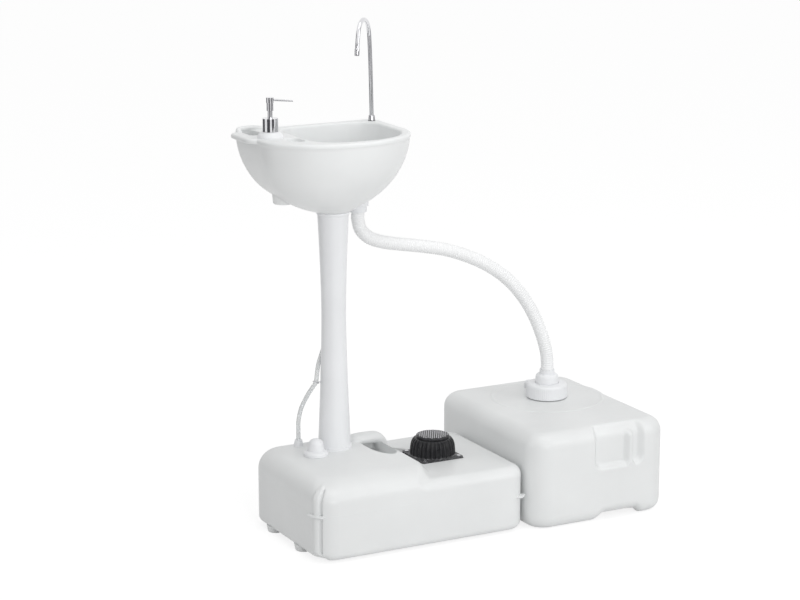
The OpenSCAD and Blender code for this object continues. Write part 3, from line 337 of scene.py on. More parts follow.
def closed_band(rings):
    """Surface through rings that is closed round its section too"""
    n, m = len(rings[0]), len(rings)
    faces = [(i * n + j, i * n + (j + 1) % n, (i + 1) % m * n + (j + 1) % n, (i + 1) % m * n + j)
             for i in range(m) for j in range(n)]
    return [p for ring in rings for p in ring], faces


def level_ring(x, y, radii, z):
    """Level ring about an upright axis, with one radius for each of its points"""
    n = len(radii)
    return [(*polar(x, y, r, 2 * math.pi * j / n), z) for j, r in enumerate(radii)]


def revolve(profile, x, y, n=72):
    """Solid of revolution about an upright axis; profile is (radius, height) from bottom to top"""
    return loft([level_ring(x, y, [r] * n, z) for r, z in profile])


def cut(data, *cutters):
    """The mesh with shapes taken out of it, exactly"""
    base = added("cut_base", data)
    tools = []
    for cutter in cutters:
        tool = added("cut_tool", mesh_of("cut_tool", *cutter))
        turn_outwards(tool.data)
        modifier = base.modifiers.new("cut", "BOOLEAN")
        modifier.operation = "DIFFERENCE"
        modifier.solver = "EXACT"
        modifier.object = tool
        tools.append(tool)
    bpy.context.view_layer.update()
    view = bpy.context.evaluated_depsgraph_get()
    result = bpy.data.meshes.new_from_object(base.evaluated_get(view))
    for obj in [base] + tools:
        bpy.data.objects.remove(obj, do_unlink=True)
    return result


def merged(data, *parts):
    """The mesh with more closed shells, meshes or shapes, added to it"""
    work = bmesh.new()
    work.from_mesh(data)
    for part in parts:
        extra = mesh_of("extra", *part) if isinstance(part, tuple) else part
        work.from_mesh(extra)
        bpy.data.meshes.remove(extra)
    out = bpy.data.meshes.new(data.name)
    work.to_mesh(out)
    work.free()
    return out


def moved(shape, shift):
    points, faces = shape
    return [shift(p) for p in points], faces


def arc(cx, cy, r, start, end, n, last=False):
    """Points along an arc, in degrees, without its last one unless that is asked for"""
    return [polar(cx, cy, r, math.radians(start + (end - start) * k / n))
            for k in range(n + (1 if last else 0))]


def line(a, b, n):
    return [(a[0] + (b[0] - a[0]) * k / n, a[1] + (b[1] - a[1]) * k / n) for k in range(n)]


def rounded(x0, x1, y0, y1, r, n_corner, n_x, n_y):
    """Outline of a rounded rectangle, from the right back corner on, turning left. r and n_corner
    are one value, or one for each corner: right back, left back, left front and right front."""
    r0, r1, r2, r3 = r if isinstance(r, tuple) else (r,) * 4
    n0, n1, n2, n3 = n_corner if isinstance(n_corner, tuple) else (n_corner,) * 4
    return (arc(x1 - r0, y1 - r0, r0, 0, 90, n0) + line((x1 - r0, y1), (x0 + r1, y1), n_x)
            + arc(x0 + r1, y1 - r1, r1, 90, 180, n1) + line((x0, y1 - r1), (x0, y0 + r2), n_y)
            + arc(x0 + r2, y0 + r2, r2, 180, 270, n2) + line((x0 + r2, y0), (x1 - r3, y0), n_x)
            + arc(x1 - r3, y0 + r3, r3, 270, 360, n3) + line((x1, y0 + r3), (x1, y1 - r0), n_y))


def normals_of(outline):
    """Outward directions at all points of a closed outline that turns left"""
    out, n = [], len(outline)
    for i in range(n):
        a, b = outline[i - 1], outline[(i + 1) % n]
        t = Vector((b[0] - a[0], b[1] - a[1])).normalized()
        out.append((t.y, -t.x))
    return out


# ------------------------------------------------------------------ hoses (cords)


def spline(route, s):
    """Point of the smooth curve through the route, s counting its stretches"""
    last = len(route) - 1
    i = min(int(s), last - 1)
    u = s - i
    p1, p2 = route[i], route[i + 1]
    p0 = route[i - 1] if i > 0 else 2 * p1 - p2
    p3 = route[i + 2] if i + 2 <= last else 2 * p2 - p1
    return ((2 * p1) + (p2 - p0) * u + (2 * p0 - 5 * p1 + 4 * p2 - p3) * u * u
            + (3 * p1 - p0 - 3 * p2 + p3) * u ** 3) / 2


def even_steps(route, n, dense_steps=24):
    """n + 1 points at even steps of length along the curve, as in part.scad, and its length"""
    dense = [spline(route, k / dense_steps) for k in range((len(route) - 1) * dense_steps + 1)]
    lengths = [0.0]
    for a, b in zip(dense, dense[1:]):
        lengths.append(lengths[-1] + (b - a).length)
    out, i = [], 0
    for k in range(n + 1):
        s = lengths[-1] * k / n
        while i < len(dense) - 2 and lengths[i + 1] < s:
            i += 1
        u = (s - lengths[i]) / (lengths[i + 1] - lengths[i])
        out.append(dense[i].lerp(dense[i + 1], max(0, min(1, u))))
    return out, lengths[-1]


def sweep(points, radii, sides, side):
    """Tube along points, with one radius for each; side is a direction across the whole route"""
    turns = [2 * math.pi * j / sides for j in range(sides)]
    rings = []
    for i, (p, r) in enumerate(zip(points, radii)):
        t = (points[min(i + 1, len(points) - 1)] - points[max(i - 1, 0)]).normalized()
        u = t.cross(Vector(side)).cross(t).normalized()
        v = t.cross(u)
        rings.append([tuple(p + r * (math.cos(turn) * u + math.sin(turn) * v)) for turn in turns])
    return loft(rings)


def fitted(route, start, end):
    """The route stretched so that it meets both ends, as in part.scad"""
    n = len(route) - 1
    route = [Vector(p) for p in route]
    da, db = Vector(start) - route[0], Vector(end) - route[n]
    shares = [ease((i - 1) / (n - 2)) for i in range(n + 1)]
    return [p + (1 - t) * da + t * db for p, t in zip(route, shares)]


DRAIN_ROUTE = fitted((
    (86, 50, 636), (86, 50, 620), (92, 49, 598), (110, 47, 580), (138, 45, 569), (176, 43, 561),
    (228, 40, 552), (282, 36, 540), (334, 32, 521), (382, 28, 496), (424, 24, 464), (457, 20, 426),
    (482, 16, 384), (500, 13, 340), (510, 11, 304), (513, 10, 278), (513, 10, 262)),
    (81, 50, 635.85), (506, -3, 262.15))
SUPPLY_ROUTE = fitted((
    (-60, 46, 172), (-60, 46, 186), (-61, 43, 212), (-57, 38, 240), (-48, 28, 268), (-41, 17, 288),
    (-36.5, 11, 300), (-32, 16, 314), (-24, 25, 334), (-10, 32, 362), (2, 35, 395), (8, 35, 440),
    (10, 36, 490), (11, 39, 540), (17, 48, 585), (32, 66, 620), (58, 88, 648), (90, 104, 672),
    (118, 111, 694), (135, 110, 718), (140, 108, 742), (140, 108, 756), (140, 108, 768)),
    (-60, 46, 172.15), (138, 98, 767.85))
RIBS, STEPS_PER_RIB = 128, 8
DRAIN_ROOT_R, DRAIN_RIB_H = 13.2, 0.7
SUPPLY_R = 4.5

steps, drain_length = even_steps(DRAIN_ROUTE, RIBS * STEPS_PER_RIB)
radii = [DRAIN_ROOT_R + DRAIN_RIB_H * wave(2 * math.pi * k / STEPS_PER_RIB)
         for k in range(len(steps))]
drain_hose = piece("drain_hose_ribbed", sweep(steps, radii, 32, (0, 1, 0)), "hose_white", "stand",
                   "drain_hose", sharp=60)

steps, supply_length = even_steps(SUPPLY_ROUTE, 220)
supply_hose = piece("supply_hose_clear", sweep(steps, [SUPPLY_R] * len(steps), 24, (1, 0, 0)),
                    "hose_clear", "stand", "supply_hose", sharp=60)

# ------------------------------------------------------------------ fresh-water tank


def tank(outer, inner, drops, spine, foot, top, bottom_r, side_rows, top_rows):
    """Rounded tank. outer and inner are matching outlines: the side wall and where the top's round
    edge ends. drops are that edge's heights, top(x) is the height of the top, and the top's rows
    draw in towards the box spine (left, front, right, back), the last one just short of it."""
    rings = []
    normals = normals_of(outer)
    for sine, cosine in quarter(8):
        inset, z = bottom_r * (1 - sine), foot + bottom_r * (1 - cosine)
        rings.append([(p[0] - m[0] * inset, p[1] - m[1] * inset, z)
                      for p, m in zip(outer, normals)])
    tops = [top(q[0]) for q in inner]
    for k in range(1, side_rows + 1):
        share = k / side_rows
        rings.append([(*p, foot + bottom_r + share * (tz - d - foot - bottom_r))
                      for p, tz, d in zip(outer, tops, drops)])
    for sine, cosine in quarter(16, 1):
        rings.append([(*between(p, q, 1 - cosine), tz - d * (1 - sine))
                      for p, q, tz, d in zip(outer, inner, tops, drops)])
    for k in range(1, top_rows + 1):
        ring = []
        for q in inner:
            middle = (max(spine[0], min(spine[2], q[0])), max(spine[1], min(spine[3], q[1])))
            x, y = between(q, middle, 0.995 * k / top_rows)
            ring.append((x, y, top(x)))
        rings.append(ring)
    return loft(rings)


BASE_L, BASE_R, BASE_F, BASE_B = -152.0, 318.0, -240.0, 80.0
BASE_H, LOW_H, BASE_FOOT, BASE_BOTTOM_R = 160.0, 137.0, 5.0, 14.0
LEFT_R, RIGHT_R = 45, 38               # corners in plan
LEFT_CORNER = (BASE_L + LEFT_R, BASE_F + LEFT_R)
RIGHT_CORNER = (BASE_R - RIGHT_R, BASE_F + RIGHT_R)
EDGE_L, EDGE_R, EDGE_B = 42, 18, 28    # the top's round edge at the left, the right and the back
EDGE_REACH = (66, 24)                  # in front, at the plateau and at the lower pump side
EDGE_DROP = (38, 22)                   # how far it drops there
SEAM_DROP = 62.5                       # from the top down to the mould's parting line
SEAM_OUT, TAB_OUT = 0.3, 9.4           # how far that line and its tabs stand out
RIB_TURN, GROOVE_TURN = 205, 220       # places round the left corner, in degrees
RIB_C, RIB_R, RIB_OUT, RIB_TOP = LEFT_R - 7, 10, 5, 158
GROOVE_DEPTH, GROOVE_TOP = 5.2, 150
STEP_X, STEP_WIDE = 102, 25            # the step from the plateau down to the pump side
STEP_TURN = 30                         # how far it turns left at the front
LEFT_RISE = 4.5                        # how far the bottom rises at the left end
LEFT_TAB, RIGHT_TAB = 207, 312         # the tabs' places round the two front corners, in degrees
CORNER_STEPS, EDGE_STEPS = (20, 20, 72, 24), (140, 44)


def stepped(plateau, low, x):
    """A value that changes from the plateau round the neck to the lower pump side"""
    return plateau + (low - plateau) * ease((x - STEP_X) / STEP_WIDE)


def base_top(x):
    return stepped(BASE_H, LOW_H, x)


def corner_angle(x, y, centre):
    return math.degrees(math.atan2(y - centre[1], x - centre[0])) % 360


def rib_height(a, z, r):
    """How far the upright rib, a round bar in the corner with an arched top, stands out"""
    turn = abs(a - RIB_TURN)
    side = RIB_C * math.sin(math.radians(min(15, turn)))
    reach = math.sqrt(RIB_C ** 2 - side * side) + math.sqrt(RIB_R ** 2 - side * side)
    arch = RIB_TOP - 9 * (turn / 13) ** 2
    return min(RIB_OUT, max(0, reach - r)) * ease((12.5 - turn) / 4) * ease((arch - z) / 8)


def groove_depth(a, z):
    return GROOVE_DEPTH * ease((4.9 - abs(a - GROOVE_TURN)) / 2.2) * ease((GROOVE_TOP - z) / 6)


def base_details(p):
    """Rib and groove on the front left corner, the bottom that rises there, and the step between
    plateau and pump side, which turns left as it comes to the front"""
    x, y, z = p
    dx, dy = x - LEFT_CORNER[0], y - LEFT_CORNER[1]
    r = math.hypot(dx, dy)
    if dx < 0 and dy < 0 and r > 20:
        a = corner_angle(x, y, LEFT_CORNER)
        k = 1 + (rib_height(a, z, r) - groove_depth(a, z)) * ease((z - 14) / 6) / r
        x, y = LEFT_CORNER[0] + dx * k, LEFT_CORNER[1] + dy * k
    z += LEFT_RISE * ease((-122 - x) / 12) * (1 - ease(z / 34))
    near_step = math.exp(-((x - STEP_X - 10) / 46) ** 2)
    x -= STEP_TURN * ease((-165 - y) / 75) * near_step * ease((z - 50) / 50)
    return x, y, z


def base_outlines():
    """The fresh tank's side wall, and where its top's round edge ends"""
    outer = rounded(BASE_L, BASE_R, BASE_F, BASE_B, (RIGHT_R, LEFT_R, LEFT_R, RIGHT_R),
                    CORNER_STEPS, *EDGE_STEPS)
    inner = []
    for x, y in rounded(BASE_L + EDGE_L, BASE_R - EDGE_R, BASE_F + EDGE_B, BASE_B - EDGE_B,
                        (20, 20, 22, 20), CORNER_STEPS, *EDGE_STEPS):
        more = stepped(*EDGE_REACH, x) - EDGE_B
        inner.append((x, y + more * ease((-100 - y) / 100)))
    return outer, inner


def seam_tab(p):
    """1 where the parting line widens into a moulding tab, 0 elsewhere"""
    left = right = 0
    if p[0] < LEFT_CORNER[0] and p[1] < LEFT_CORNER[1]:
        left = corner_angle(*p, LEFT_CORNER)
    if p[0] > RIGHT_CORNER[0] and p[1] < RIGHT_CORNER[1]:
        right = corner_angle(*p, RIGHT_CORNER)
    return max(ease((25 - abs(left - LEFT_TAB)) / 6), ease((20 - abs(right - RIGHT_TAB)) / 7))


def seam(outline, normals):
    """Parting line round the tank, with its two tabs"""
    rings = []
    for inset, up in ((None, -1), (0.5, -1), (0, 0), (0.5, 1), (None, 1)):
        ring = []
        for p, m in zip(outline, normals):
            t = seam_tab(p)
            out = -4 if inset is None else SEAM_OUT + TAB_OUT * t - inset * (0.4 + 0.9 * t)
            z = base_top(p[0]) - SEAM_DROP + up * (0.8 + 0.9 * t)
            ring.append((p[0] + m[0] * out, p[1] + m[1] * out, z))
        rings.append(ring)
    return closed_band(rings)


def block(outline_at, levels):
    """Solid through an outline that grows by the given amount at each (height, amount)"""
    return loft([[(x, y, z) for x, y in outline_at(grow)] for z, grow in levels])


def pit(outline, top_z, depth, soft):
    """Cutter for a pocket with a rounded lip and a rounded floor edge"""
    floor_z = top_z - depth
    levels = [(floor_z, -soft), (floor_z + soft * 0.3, -soft * 0.3), (floor_z + soft, 0)]
    levels += [(top_z - soft * (1 - sine), soft * (1 - cosine)) for sine, cosine in quarter(6)]
    return block(outline, levels + [(top_z + 12, soft)])


def soft_pit(cx, cy, l, w, r, top_z, depth, soft):
    """Cutter for a rounded rectangular pocket"""
    def outline(grow):
        return rounded(cx - l / 2 - grow, cx + l / 2 + grow, cy - w / 2 - grow,
                       cy + w / 2 + grow, max(1.0, r + grow), 8, 12, 12)
    return pit(outline, top_z, depth, soft)


GRIP_X, GRIP_Y = 86, 24                # middle of the carrying handle
GRIP_R, GRIP_WIDE = 12, 1.7
FILL_X, FILL_Y = -59, -34
PUMP_X, PUMP_Y, PUMP_SEAT = 187, -77, 97
FOOT_X, FOOT_Y, FOOT_R = (-135, 288), (-130, 0), 16


def grip_outline(grow):
    """Trough under the handle: straight at the back, half an ellipse in front"""
    a, b, r, back, mid = 24 + grow, 62 + grow, 11 + grow, 42 + grow, -32
    turns = [math.radians(180 + 5 * k) for k in range(37)]
    front = [(GRIP_X + a * math.cos(turn), mid + b * math.sin(turn)) for turn in turns]
    return (front + arc(GRIP_X + a - r, back - r, r, 0, 90, 8, True)
            + arc(GRIP_X - a + r, back - r, r, 90, 180, 8, True))


def grip_bar():
    """Carrying handle: a bar that rises out of the tank at both ends, wider than it is thick"""
    path = [Vector((GRIP_X + x, GRIP_Y, z)) for x, z in (
        (-40, 144), (-32, 157), (-22, 161), (12, 161), (24, 158), (32, 148), (36, 128))]
    steps, _ = even_steps(path, 48)
    return moved(sweep(steps, [GRIP_R] * len(steps), 36, (0, 1, 0)),
                 lambda p: (p[0], GRIP_Y + GRIP_WIDE * (p[1] - GRIP_Y), p[2]))


def foot_bulge(x, y, r, foot):
    return revolve([(r * 0.2, 0), (r * 0.86, 0), (r * 0.96, 0.8), (r, 2.2), (r + 1, foot),
                    (r + 2.5, foot + 9)], x, y, 48)


outer, inner = base_outlines()
normals = normals_of(outer)
drops = [EDGE_L * min(0, m[0]) ** 2 + EDGE_R * max(0, m[0]) ** 2 + EDGE_B * max(0, m[1]) ** 2
         + stepped(*EDGE_DROP, q[0]) * min(0, m[1]) ** 2 for m, q in zip(normals, inner)]
shape = moved(tank(outer, inner, drops, spine=(-60, -60, 230, -20), foot=BASE_FOOT, top=base_top,
                   bottom_r=BASE_BOTTOM_R, side_rows=40, top_rows=46), base_details)
trough = pit(grip_outline, BASE_H, depth=30, soft=5)
pump_seat = soft_pit(PUMP_X, PUMP_Y, PUMP_SEAT, PUMP_SEAT, r=5, top_z=LOW_H, depth=3, soft=0.8)
fill_spout = revolve([(12, 130), (17, 156), (17, 165), (13, 165)], FILL_X, FILL_Y)
base_mesh = merged(cut(mesh_of("fresh_tank", *shape), trough, pump_seat),
                   grip_bar(), seam(outer, normals), fill_spout,
                   *[foot_bulge(x, y, FOOT_R, BASE_FOOT) for x in FOOT_X for y in FOOT_Y])
piece("fresh_tank_body", base_mesh, "hdpe_tank", "stand", "base_tank")

# ------------------------------------------------------------------ waste tank

WASTE_L, WASTE_R, WASTE_F, WASTE_B, WASTE_H = 324.0, 648.0, -260.0, 156.0, 201.0
WASTE_CORNER_R, WASTE_EDGE, WASTE_BOTTOM_R = 46, 31, 24
CAP_X, CAP_Y, CAP_R = 506, -3, 44
RING_R = 118                           # ring embossed round the cap
RECESS = (465, 589, 109, 230)          # left, right, bottom and top, which runs out at the edge
HANDLE = (544, 567, 104, 186)
RECESS_DEPTH, HANDLE_OUT = 12.5, 11.5
RELIEF_L, RELIEF_R, RELIEF_H = 471, 589, 12
KNURLS, KNURL_DEPTH = 60, 0.6
# The tank's front and back have few points from the first place to the second, and many from
# there to the third, where the recess and the relief are.
WASTE_PLACES = (370, 458, 602)


def smooth_box(x, z, x0, x1, z0, z1, soft, r):
    """1 inside a rounded rectangle, 0 outside, with a soft border"""
    dx = max(x0 + r - x, x - x1 + r, 0)
    dz = max(z0 + r - z, z - z1 + r, 0)
    inside = r - math.hypot(dx, dz) if dx > 0 and dz > 0 else r - max(dx, dz)
    return ease(inside / soft)


def waste_details(p):
    """Hand recess with its upright handle, and the relief between the feet"""
    x, y, z = p
    if y < WASTE_F + 30 and 440 < x < 602 and z > 80:
        front = ease((WASTE_F + 30 - y) / 24)
        depth = RECESS_DEPTH * smooth_box(x, z, *RECESS, soft=13, r=20)
        handle = HANDLE_OUT * smooth_box(x, z, *HANDLE, soft=10, r=11)
        y += front * max(0, depth - handle)
    if z < 70:
        rise = RELIEF_H * (ease((x - RELIEF_L) / 26) * ease((RELIEF_R - x) / 18))
        z += rise * (1 - ease(z / 70))
    return x, y, z


def waste_outline(inset, r):
    """The waste tank's rounded outline, drawn in all round"""
    x0, x1, y0, y1 = WASTE_L + inset, WASTE_R - inset, WASTE_F + inset, WASTE_B - inset
    span0, span1 = x0 + r, x1 - r
    low, mid, high = WASTE_PLACES
    places = [low + (mid - low) * k / 14 for k in range(14)]
    places += [mid + (high - mid) * k / 100 for k in range(100)]
    xs = [span0 + (x - low) / (high - low) * (span1 - span0) for x in places]
    return (arc(x1 - r, y1 - r, r, 0, 90, 20) + [(x, y1) for x in [span1] + xs[:0:-1]]
            + arc(x0 + r, y1 - r, r, 90, 180, 20) + line((x0, y1 - r), (x0, y0 + r), 50)
            + arc(x0 + r, y0 + r, r, 180, 270, 24) + [(x, y0) for x in xs]
            + arc(x1 - r, y0 + r, r, 270, 360, 20) + line((x1, y0 + r), (x1, y1 - r), 50))


def soft_ring(r, half, height, n=160):
    """Low round ring embossed on the waste tank's top"""
    rings = []
    for k in range(13):
        t = -1 + k / 6
        z = WASTE_H - 0.3 + height * (0.5 + 0.5 * math.cos(math.pi * t))
        rings.append(level_ring(CAP_X, CAP_Y, [r + half * t] * n, z))
    for ring in (rings[-1], rings[0]):
        rings.append([(p[0], p[1], WASTE_H - 3) for p in ring])
    return closed_band(rings)


outer = waste_outline(0, WASTE_CORNER_R)
inner = waste_outline(WASTE_EDGE, 18)
shape = moved(tank(outer, inner, [WASTE_EDGE] * len(inner), spine=(440, -130, 532, 26), foot=0,
                   top=lambda x: WASTE_H, bottom_r=WASTE_BOTTOM_R, side_rows=66, top_rows=30),
              waste_details)
waste_mesh = merged(mesh_of("waste_tank", *shape), soft_ring(RING_R, half=6.5, height=1.2),
                    revolve([(30, 194), (37, 199), (37, 213), (33, 213)], CAP_X, CAP_Y))
piece("waste_tank_body", waste_mesh, "hdpe_tank", "stand", "waste_tank")

CAP_SIDE = [(CAP_R, 205 + 21.5 * k / 6) for k in range(7)]
CAP_PROFILE = [(42.4, 202.6), (43.5, 203.4), *CAP_SIDE, (43.4, 229.2), (41.7, 231.4), (39.2, 232.7),
               (36, 233), (25.3, 233), (25.3, 229), (39.5, 229), (39.5, 202.6)]


def knurled_cap(n=360):
    """Waste cap with round shoulders and a fine knurl round its side"""
    knurl = [KNURL_DEPTH * wave(KNURLS * (2 * math.pi * j / n)) for j in range(n)]
    return closed_band([level_ring(CAP_X, CAP_Y, [r - (k if r == CAP_R else 0) for k in knurl], z)
                        for r, z in CAP_PROFILE])


piece("waste_cap_knurled", knurled_cap(), "hdpe_white", "waste_cap", "waste_cap", sharp=50)
collar = revolve([(11.2, 215), (33, 215), (33, 217.9), (24.5, 218), (24.5, 245), (24.2, 247.6),
                  (23.2, 249.9), (21.5, 251.7), (19.2, 252.8), (16.6, 253), (11.2, 253)],
                 CAP_X, CAP_Y, 96)
piece("waste_collar_rounded", collar, "hdpe_white", "stand", "waste_swivel")

# ------------------------------------------------------------------ basin

NECK_TOP, RIM, HALF, NECK_TOP_R = 653.0, 812.0, 160.0, 32.0
BASIN_L, BASIN_R, BASIN_B, BASIN_F = -165.0, 155.0, 122.0, -133.0
ELLIPSE_H = (RIM - NECK_TOP) / math.sqrt(1 - (NECK_TOP_R / HALF) ** 2)
LEAN = (-9.0, 24.0)                    # the underside leans to the left and to the back
SIDE_Y = -16.0                         # where the straight sides turn into the round front
DRAIN = (81.0, 50.0)
LEFT_BOSS = (-86, DRAIN[1])
SOAP = (-132, 9)
DISH = (-104, -42)
BOWL_D, BOWL_SHARE, BOWL_POWER = 104.0, 0.93, 2.4
BAND_DROP, BAND_OUT = 10.5, 1.5        # the band below the rim
RIM_ROUND, MOUTH_ROUND = 5, 4


def d_outline(left, right, back, front, corner, full=1.0):
    """D seen from above, round in front; full below 1 makes the left half of its front fuller"""
    half, mid = (right - left) / 2, (right + left) / 2
    points = arc(right - corner, back - corner, corner, 0, 90, 16)
    points += line((right - corner, back), (left + corner, back), 40)
    points += arc(left + corner, back - corner, corner, 90, 180, 16)
    points += line((left, back - corner), (left, SIDE_Y), 24)
    for k in range(100):
        t = math.radians(180 + 1.8 * k)
        e = full if k <= 50 else 1.0
        c, s = math.cos(t), math.sin(t)
        points.append((mid + half * math.copysign(abs(c) ** e, c),
                       SIDE_Y - (SIDE_Y - front) * abs(s) ** e))
    return points + line((right, SIDE_Y), (right, back - corner), 24)


SKIN = d_outline(BASIN_L, BASIN_R, BASIN_B, BASIN_F, 24)
BOWL = d_outline(BASIN_L + 84, BASIN_R - 20, BASIN_B - 20, BASIN_F + 20, 48, 0.65)


def skin_ring(drop, inset):
    """The basin's outside at a depth below the rim: a D above that turns round lower down"""
    s = math.sqrt(max(0, 1 - (drop / ELLIPSE_H) ** 2))
    turn = ease((0.8 - s) / 0.6)
    off = (1 - s) * max(0, min(1, (s - NECK_TOP_R / HALF) / 0.25))
    out = []
    for x, y in SKIN:
        r = math.hypot(x, y)
        k = s * ((1 - turn) + turn * HALF / r) - inset / r
        out.append((x * k + LEAN[0] * off, y * k + LEAN[1] * off, RIM - drop))
    return out


def bowl_ring(depth):
    """The bowl's wall at a depth below the rim, drawn in towards the drain"""
    t = BOWL_SHARE * depth / BOWL_D
    s = (1 - t ** BOWL_POWER) ** (1 / BOWL_POWER)
    return [(DRAIN[0] + (x - DRAIN[0]) * s, DRAIN[1] + (y - DRAIN[1]) * s, RIM - depth)
            for x, y in BOWL]


def pushed(ring, away):
    """A bowl ring moved outwards in plan by the given distance"""
    return [(p[0] + m[0] * away, p[1] + m[1] * away, p[2])
            for p, m in zip(ring, normals_of(ring))]


def basin_rings():
    """Rings from the neck's top up the skin, over the rim and down into the bowl"""
    first, last = math.asin(NECK_TOP_R / HALF), math.acos(BAND_DROP / ELLIPSE_H)
    rings = [skin_ring(ELLIPSE_H * math.cos(first + (last - first) * k / 44), 0)
             for k in range(45)]
    rings += [skin_ring(9.6, -0.5), skin_ring(8.6, -1.2), skin_ring(7.6, -BAND_OUT)]
    for sine, cosine in quarter(8, 1):
        rings.append(skin_ring(RIM_ROUND - RIM_ROUND * sine, RIM_ROUND * (1 - cosine) - BAND_OUT))
    edge, mouth = rings[-1], pushed(bowl_ring(0), MOUTH_ROUND)
    for t in (0.25, 0.5, 0.75, 1.0):
        rings.append([(*between(a, b, t), RIM) for a, b in zip(edge, mouth)])
    for sine, cosine in quarter(6, 1):
        rings.append(pushed(bowl_ring(MOUTH_ROUND * (1 - cosine)), MOUTH_ROUND * (1 - sine)))
    for sine, _ in quarter(36, 1):
        rings.append(bowl_ring(MOUTH_ROUND + (BOWL_D - MOUTH_ROUND) * sine))
    return rings


def lip():
    """Flange at the left end: the rim widens there, and its inner end lies in the rim"""
    def outline(grow):
        return rounded(BASIN_L - 17 - grow, -140 + grow, -8 - grow, 100 + grow,
                       (12 + grow, 16 + grow, 34 + grow, 12 + grow), 14, 12, 12)
    levels = [(RIM - 10.5 + 4 * (1 - cosine), -4 * (1 - sine)) for sine, cosine in quarter(6)]
    levels += [(RIM - 5.02 + 5 * sine, -5 * (1 - cosine)) for sine, cosine in quarter(6)]
    return block(outline, levels)


def dish_bar(y, half=10, r=2.0):
    """Bar across the soap dish, with round ends"""
    x, z = DISH[0], RIM - 7
    points = [Vector((x - half + 2 * half * k / 16, DISH[1] + y, z)) for k in range(17)]
    radii = [r * math.sqrt(max(0.02, 1 - (max(0, abs(k - 8) - 6) / 2.05) ** 2)) for k in range(17)]
    return sweep(points, radii, 16, (0, 0, 1))


def ridge():
    """Raised edge behind the deck pocket"""
    path = [Vector(p) for p in (
        (-160, 92, 808), (-159, 102, 813.5), (-151, 111, 814.5), (-132, 114.5, 815),
        (-112, 114.5, 813.5), (-94, 114, 808), (-86, 114, 803))]
    steps, _ = even_steps(path, 40)
    return sweep(steps, [5.5] * len(steps), 20, (0, 0, 1))


deck_pocket = soft_pit(BASIN_L + 24, BASIN_B - 44, 30, 66, r=9, top_z=RIM, depth=26, soft=2.5)
bottle_hole = revolve([(22.2, 766), (22.2, 830)], *SOAP, 64)
soap_dish = soft_pit(*DISH, 34, 46, r=13, top_z=RIM, depth=7, soft=2.2)
basin_mesh = merged(
    cut(mesh_of("basin", *loft(basin_rings())), deck_pocket, bottle_hole, soap_dish), ridge(),
    revolve([(19, 658), (22.6, 658.4), (24, 660.4), (24.4, 664), (25, 704)], *DRAIN),
    revolve([(14, 668.6), (19.4, 668), (21.2, 670), (25, 708)], *LEFT_BOSS),
    *[dish_bar(y) for y in (-15, -5, 5, 15)],
    cut(mesh_of("lip", *lip()), deck_pocket, bottle_hole))
piece("basin_body", basin_mesh, "basin_plastic", "stand", "basin", sharp=45)

# ------------------------------------------------------------------ neck and faucet

NECK_WAIST_R, NECK_FOOT_R, NECK_BORE_R = 25, 34, 23.8
NECK_PLUG_R, NECK_PLUG_L = 26.8, 36
NECK_LOW = 166                         # top of the ring at its foot
NECK_LEN = 479                         # from there to the collar under the basin
FAUCET = (138, 98)
FAUCET_R, SPOUT_HEADING = 4.5, math.radians(226)


def neck_r(z):
    """The neck's radius at a height: narrow at the waist, wider to both ends"""
    waist = BASE_H + (NECK_TOP - BASE_H) * 0.57
    if z > waist:
        end_r, share = NECK_TOP_R, ((z - waist) / (NECK_TOP - waist)) ** 1.6
    else:
        end_r, share = NECK_FOOT_R, ((waist - z) / (waist - BASE_H)) ** 1.5
    return NECK_WAIST_R + (end_r - NECK_WAIST_R) * share


heights = [NECK_LOW + NECK_LEN * k / 60 for k in range(61)] + [646.5]
profile = [(NECK_PLUG_R, BASE_H - NECK_PLUG_L), (NECK_PLUG_R, 165.9),
           *[(neck_r(z), z) for z in heights],
           (32.6, 647.2), (33.4, 648.2), (33.5, 649.6), (33.4, 651.6), (32.8, 652.8),
           (NECK_TOP_R, NECK_TOP), (NECK_PLUG_R, NECK_TOP),
           (NECK_PLUG_R, NECK_TOP + NECK_PLUG_L), (NECK_BORE_R, NECK_TOP + NECK_PLUG_L)]
piece("neck_tube", revolve(profile, 0, 0, 96), "hdpe_white", "stand", "neck")

path = [Vector((*polar(*FAUCET, u, SPOUT_HEADING), z)) for u, z in (
    (0, 800), (0.6, 828), (3.6, 875), (8, 930), (13.4, 975), (18.6, 999), (31, 1017), (54, 1025.3),
    (76, 1020.5), (88.4, 1008), (94.6, 991), (98.6, 974), (100.8, 958))]
steps, _ = even_steps(path, 150)
tube, tip = steps[:146], steps[143:]
piece("faucet_tube_bent", sweep(tube, [FAUCET_R] * len(tube), 28, (0, 1, 0)), "chrome", "faucet",
      "faucet_tube", sharp=50)
piece("faucet_nozzle_ring", sweep(tip, [4.6, 5.0, 5.2, 5.25, 5.25, 5.25, 5.1, 4.7], 28, (0, 1, 0)),
      "chrome", "faucet", "faucet_nozzle", sharp=50)

# ------------------------------------------------------------------ foot pump and springs

FLANGE_Z = 140                         # top of the pump's square flange
BELLOWS_H, BELLOWS_BORE_R = 35.7, 27.5
BELLOWS_TOP_R, BELLOWS_FLARE = 34, 13  # radius at the top, and how much wider its foot is
FLUTES, STEPS_PER_FLUTE, FLUTE_DEPTH = 30, 12, 2.6
DOT_PITCH, DOT_REACH = 5.0, 31.0


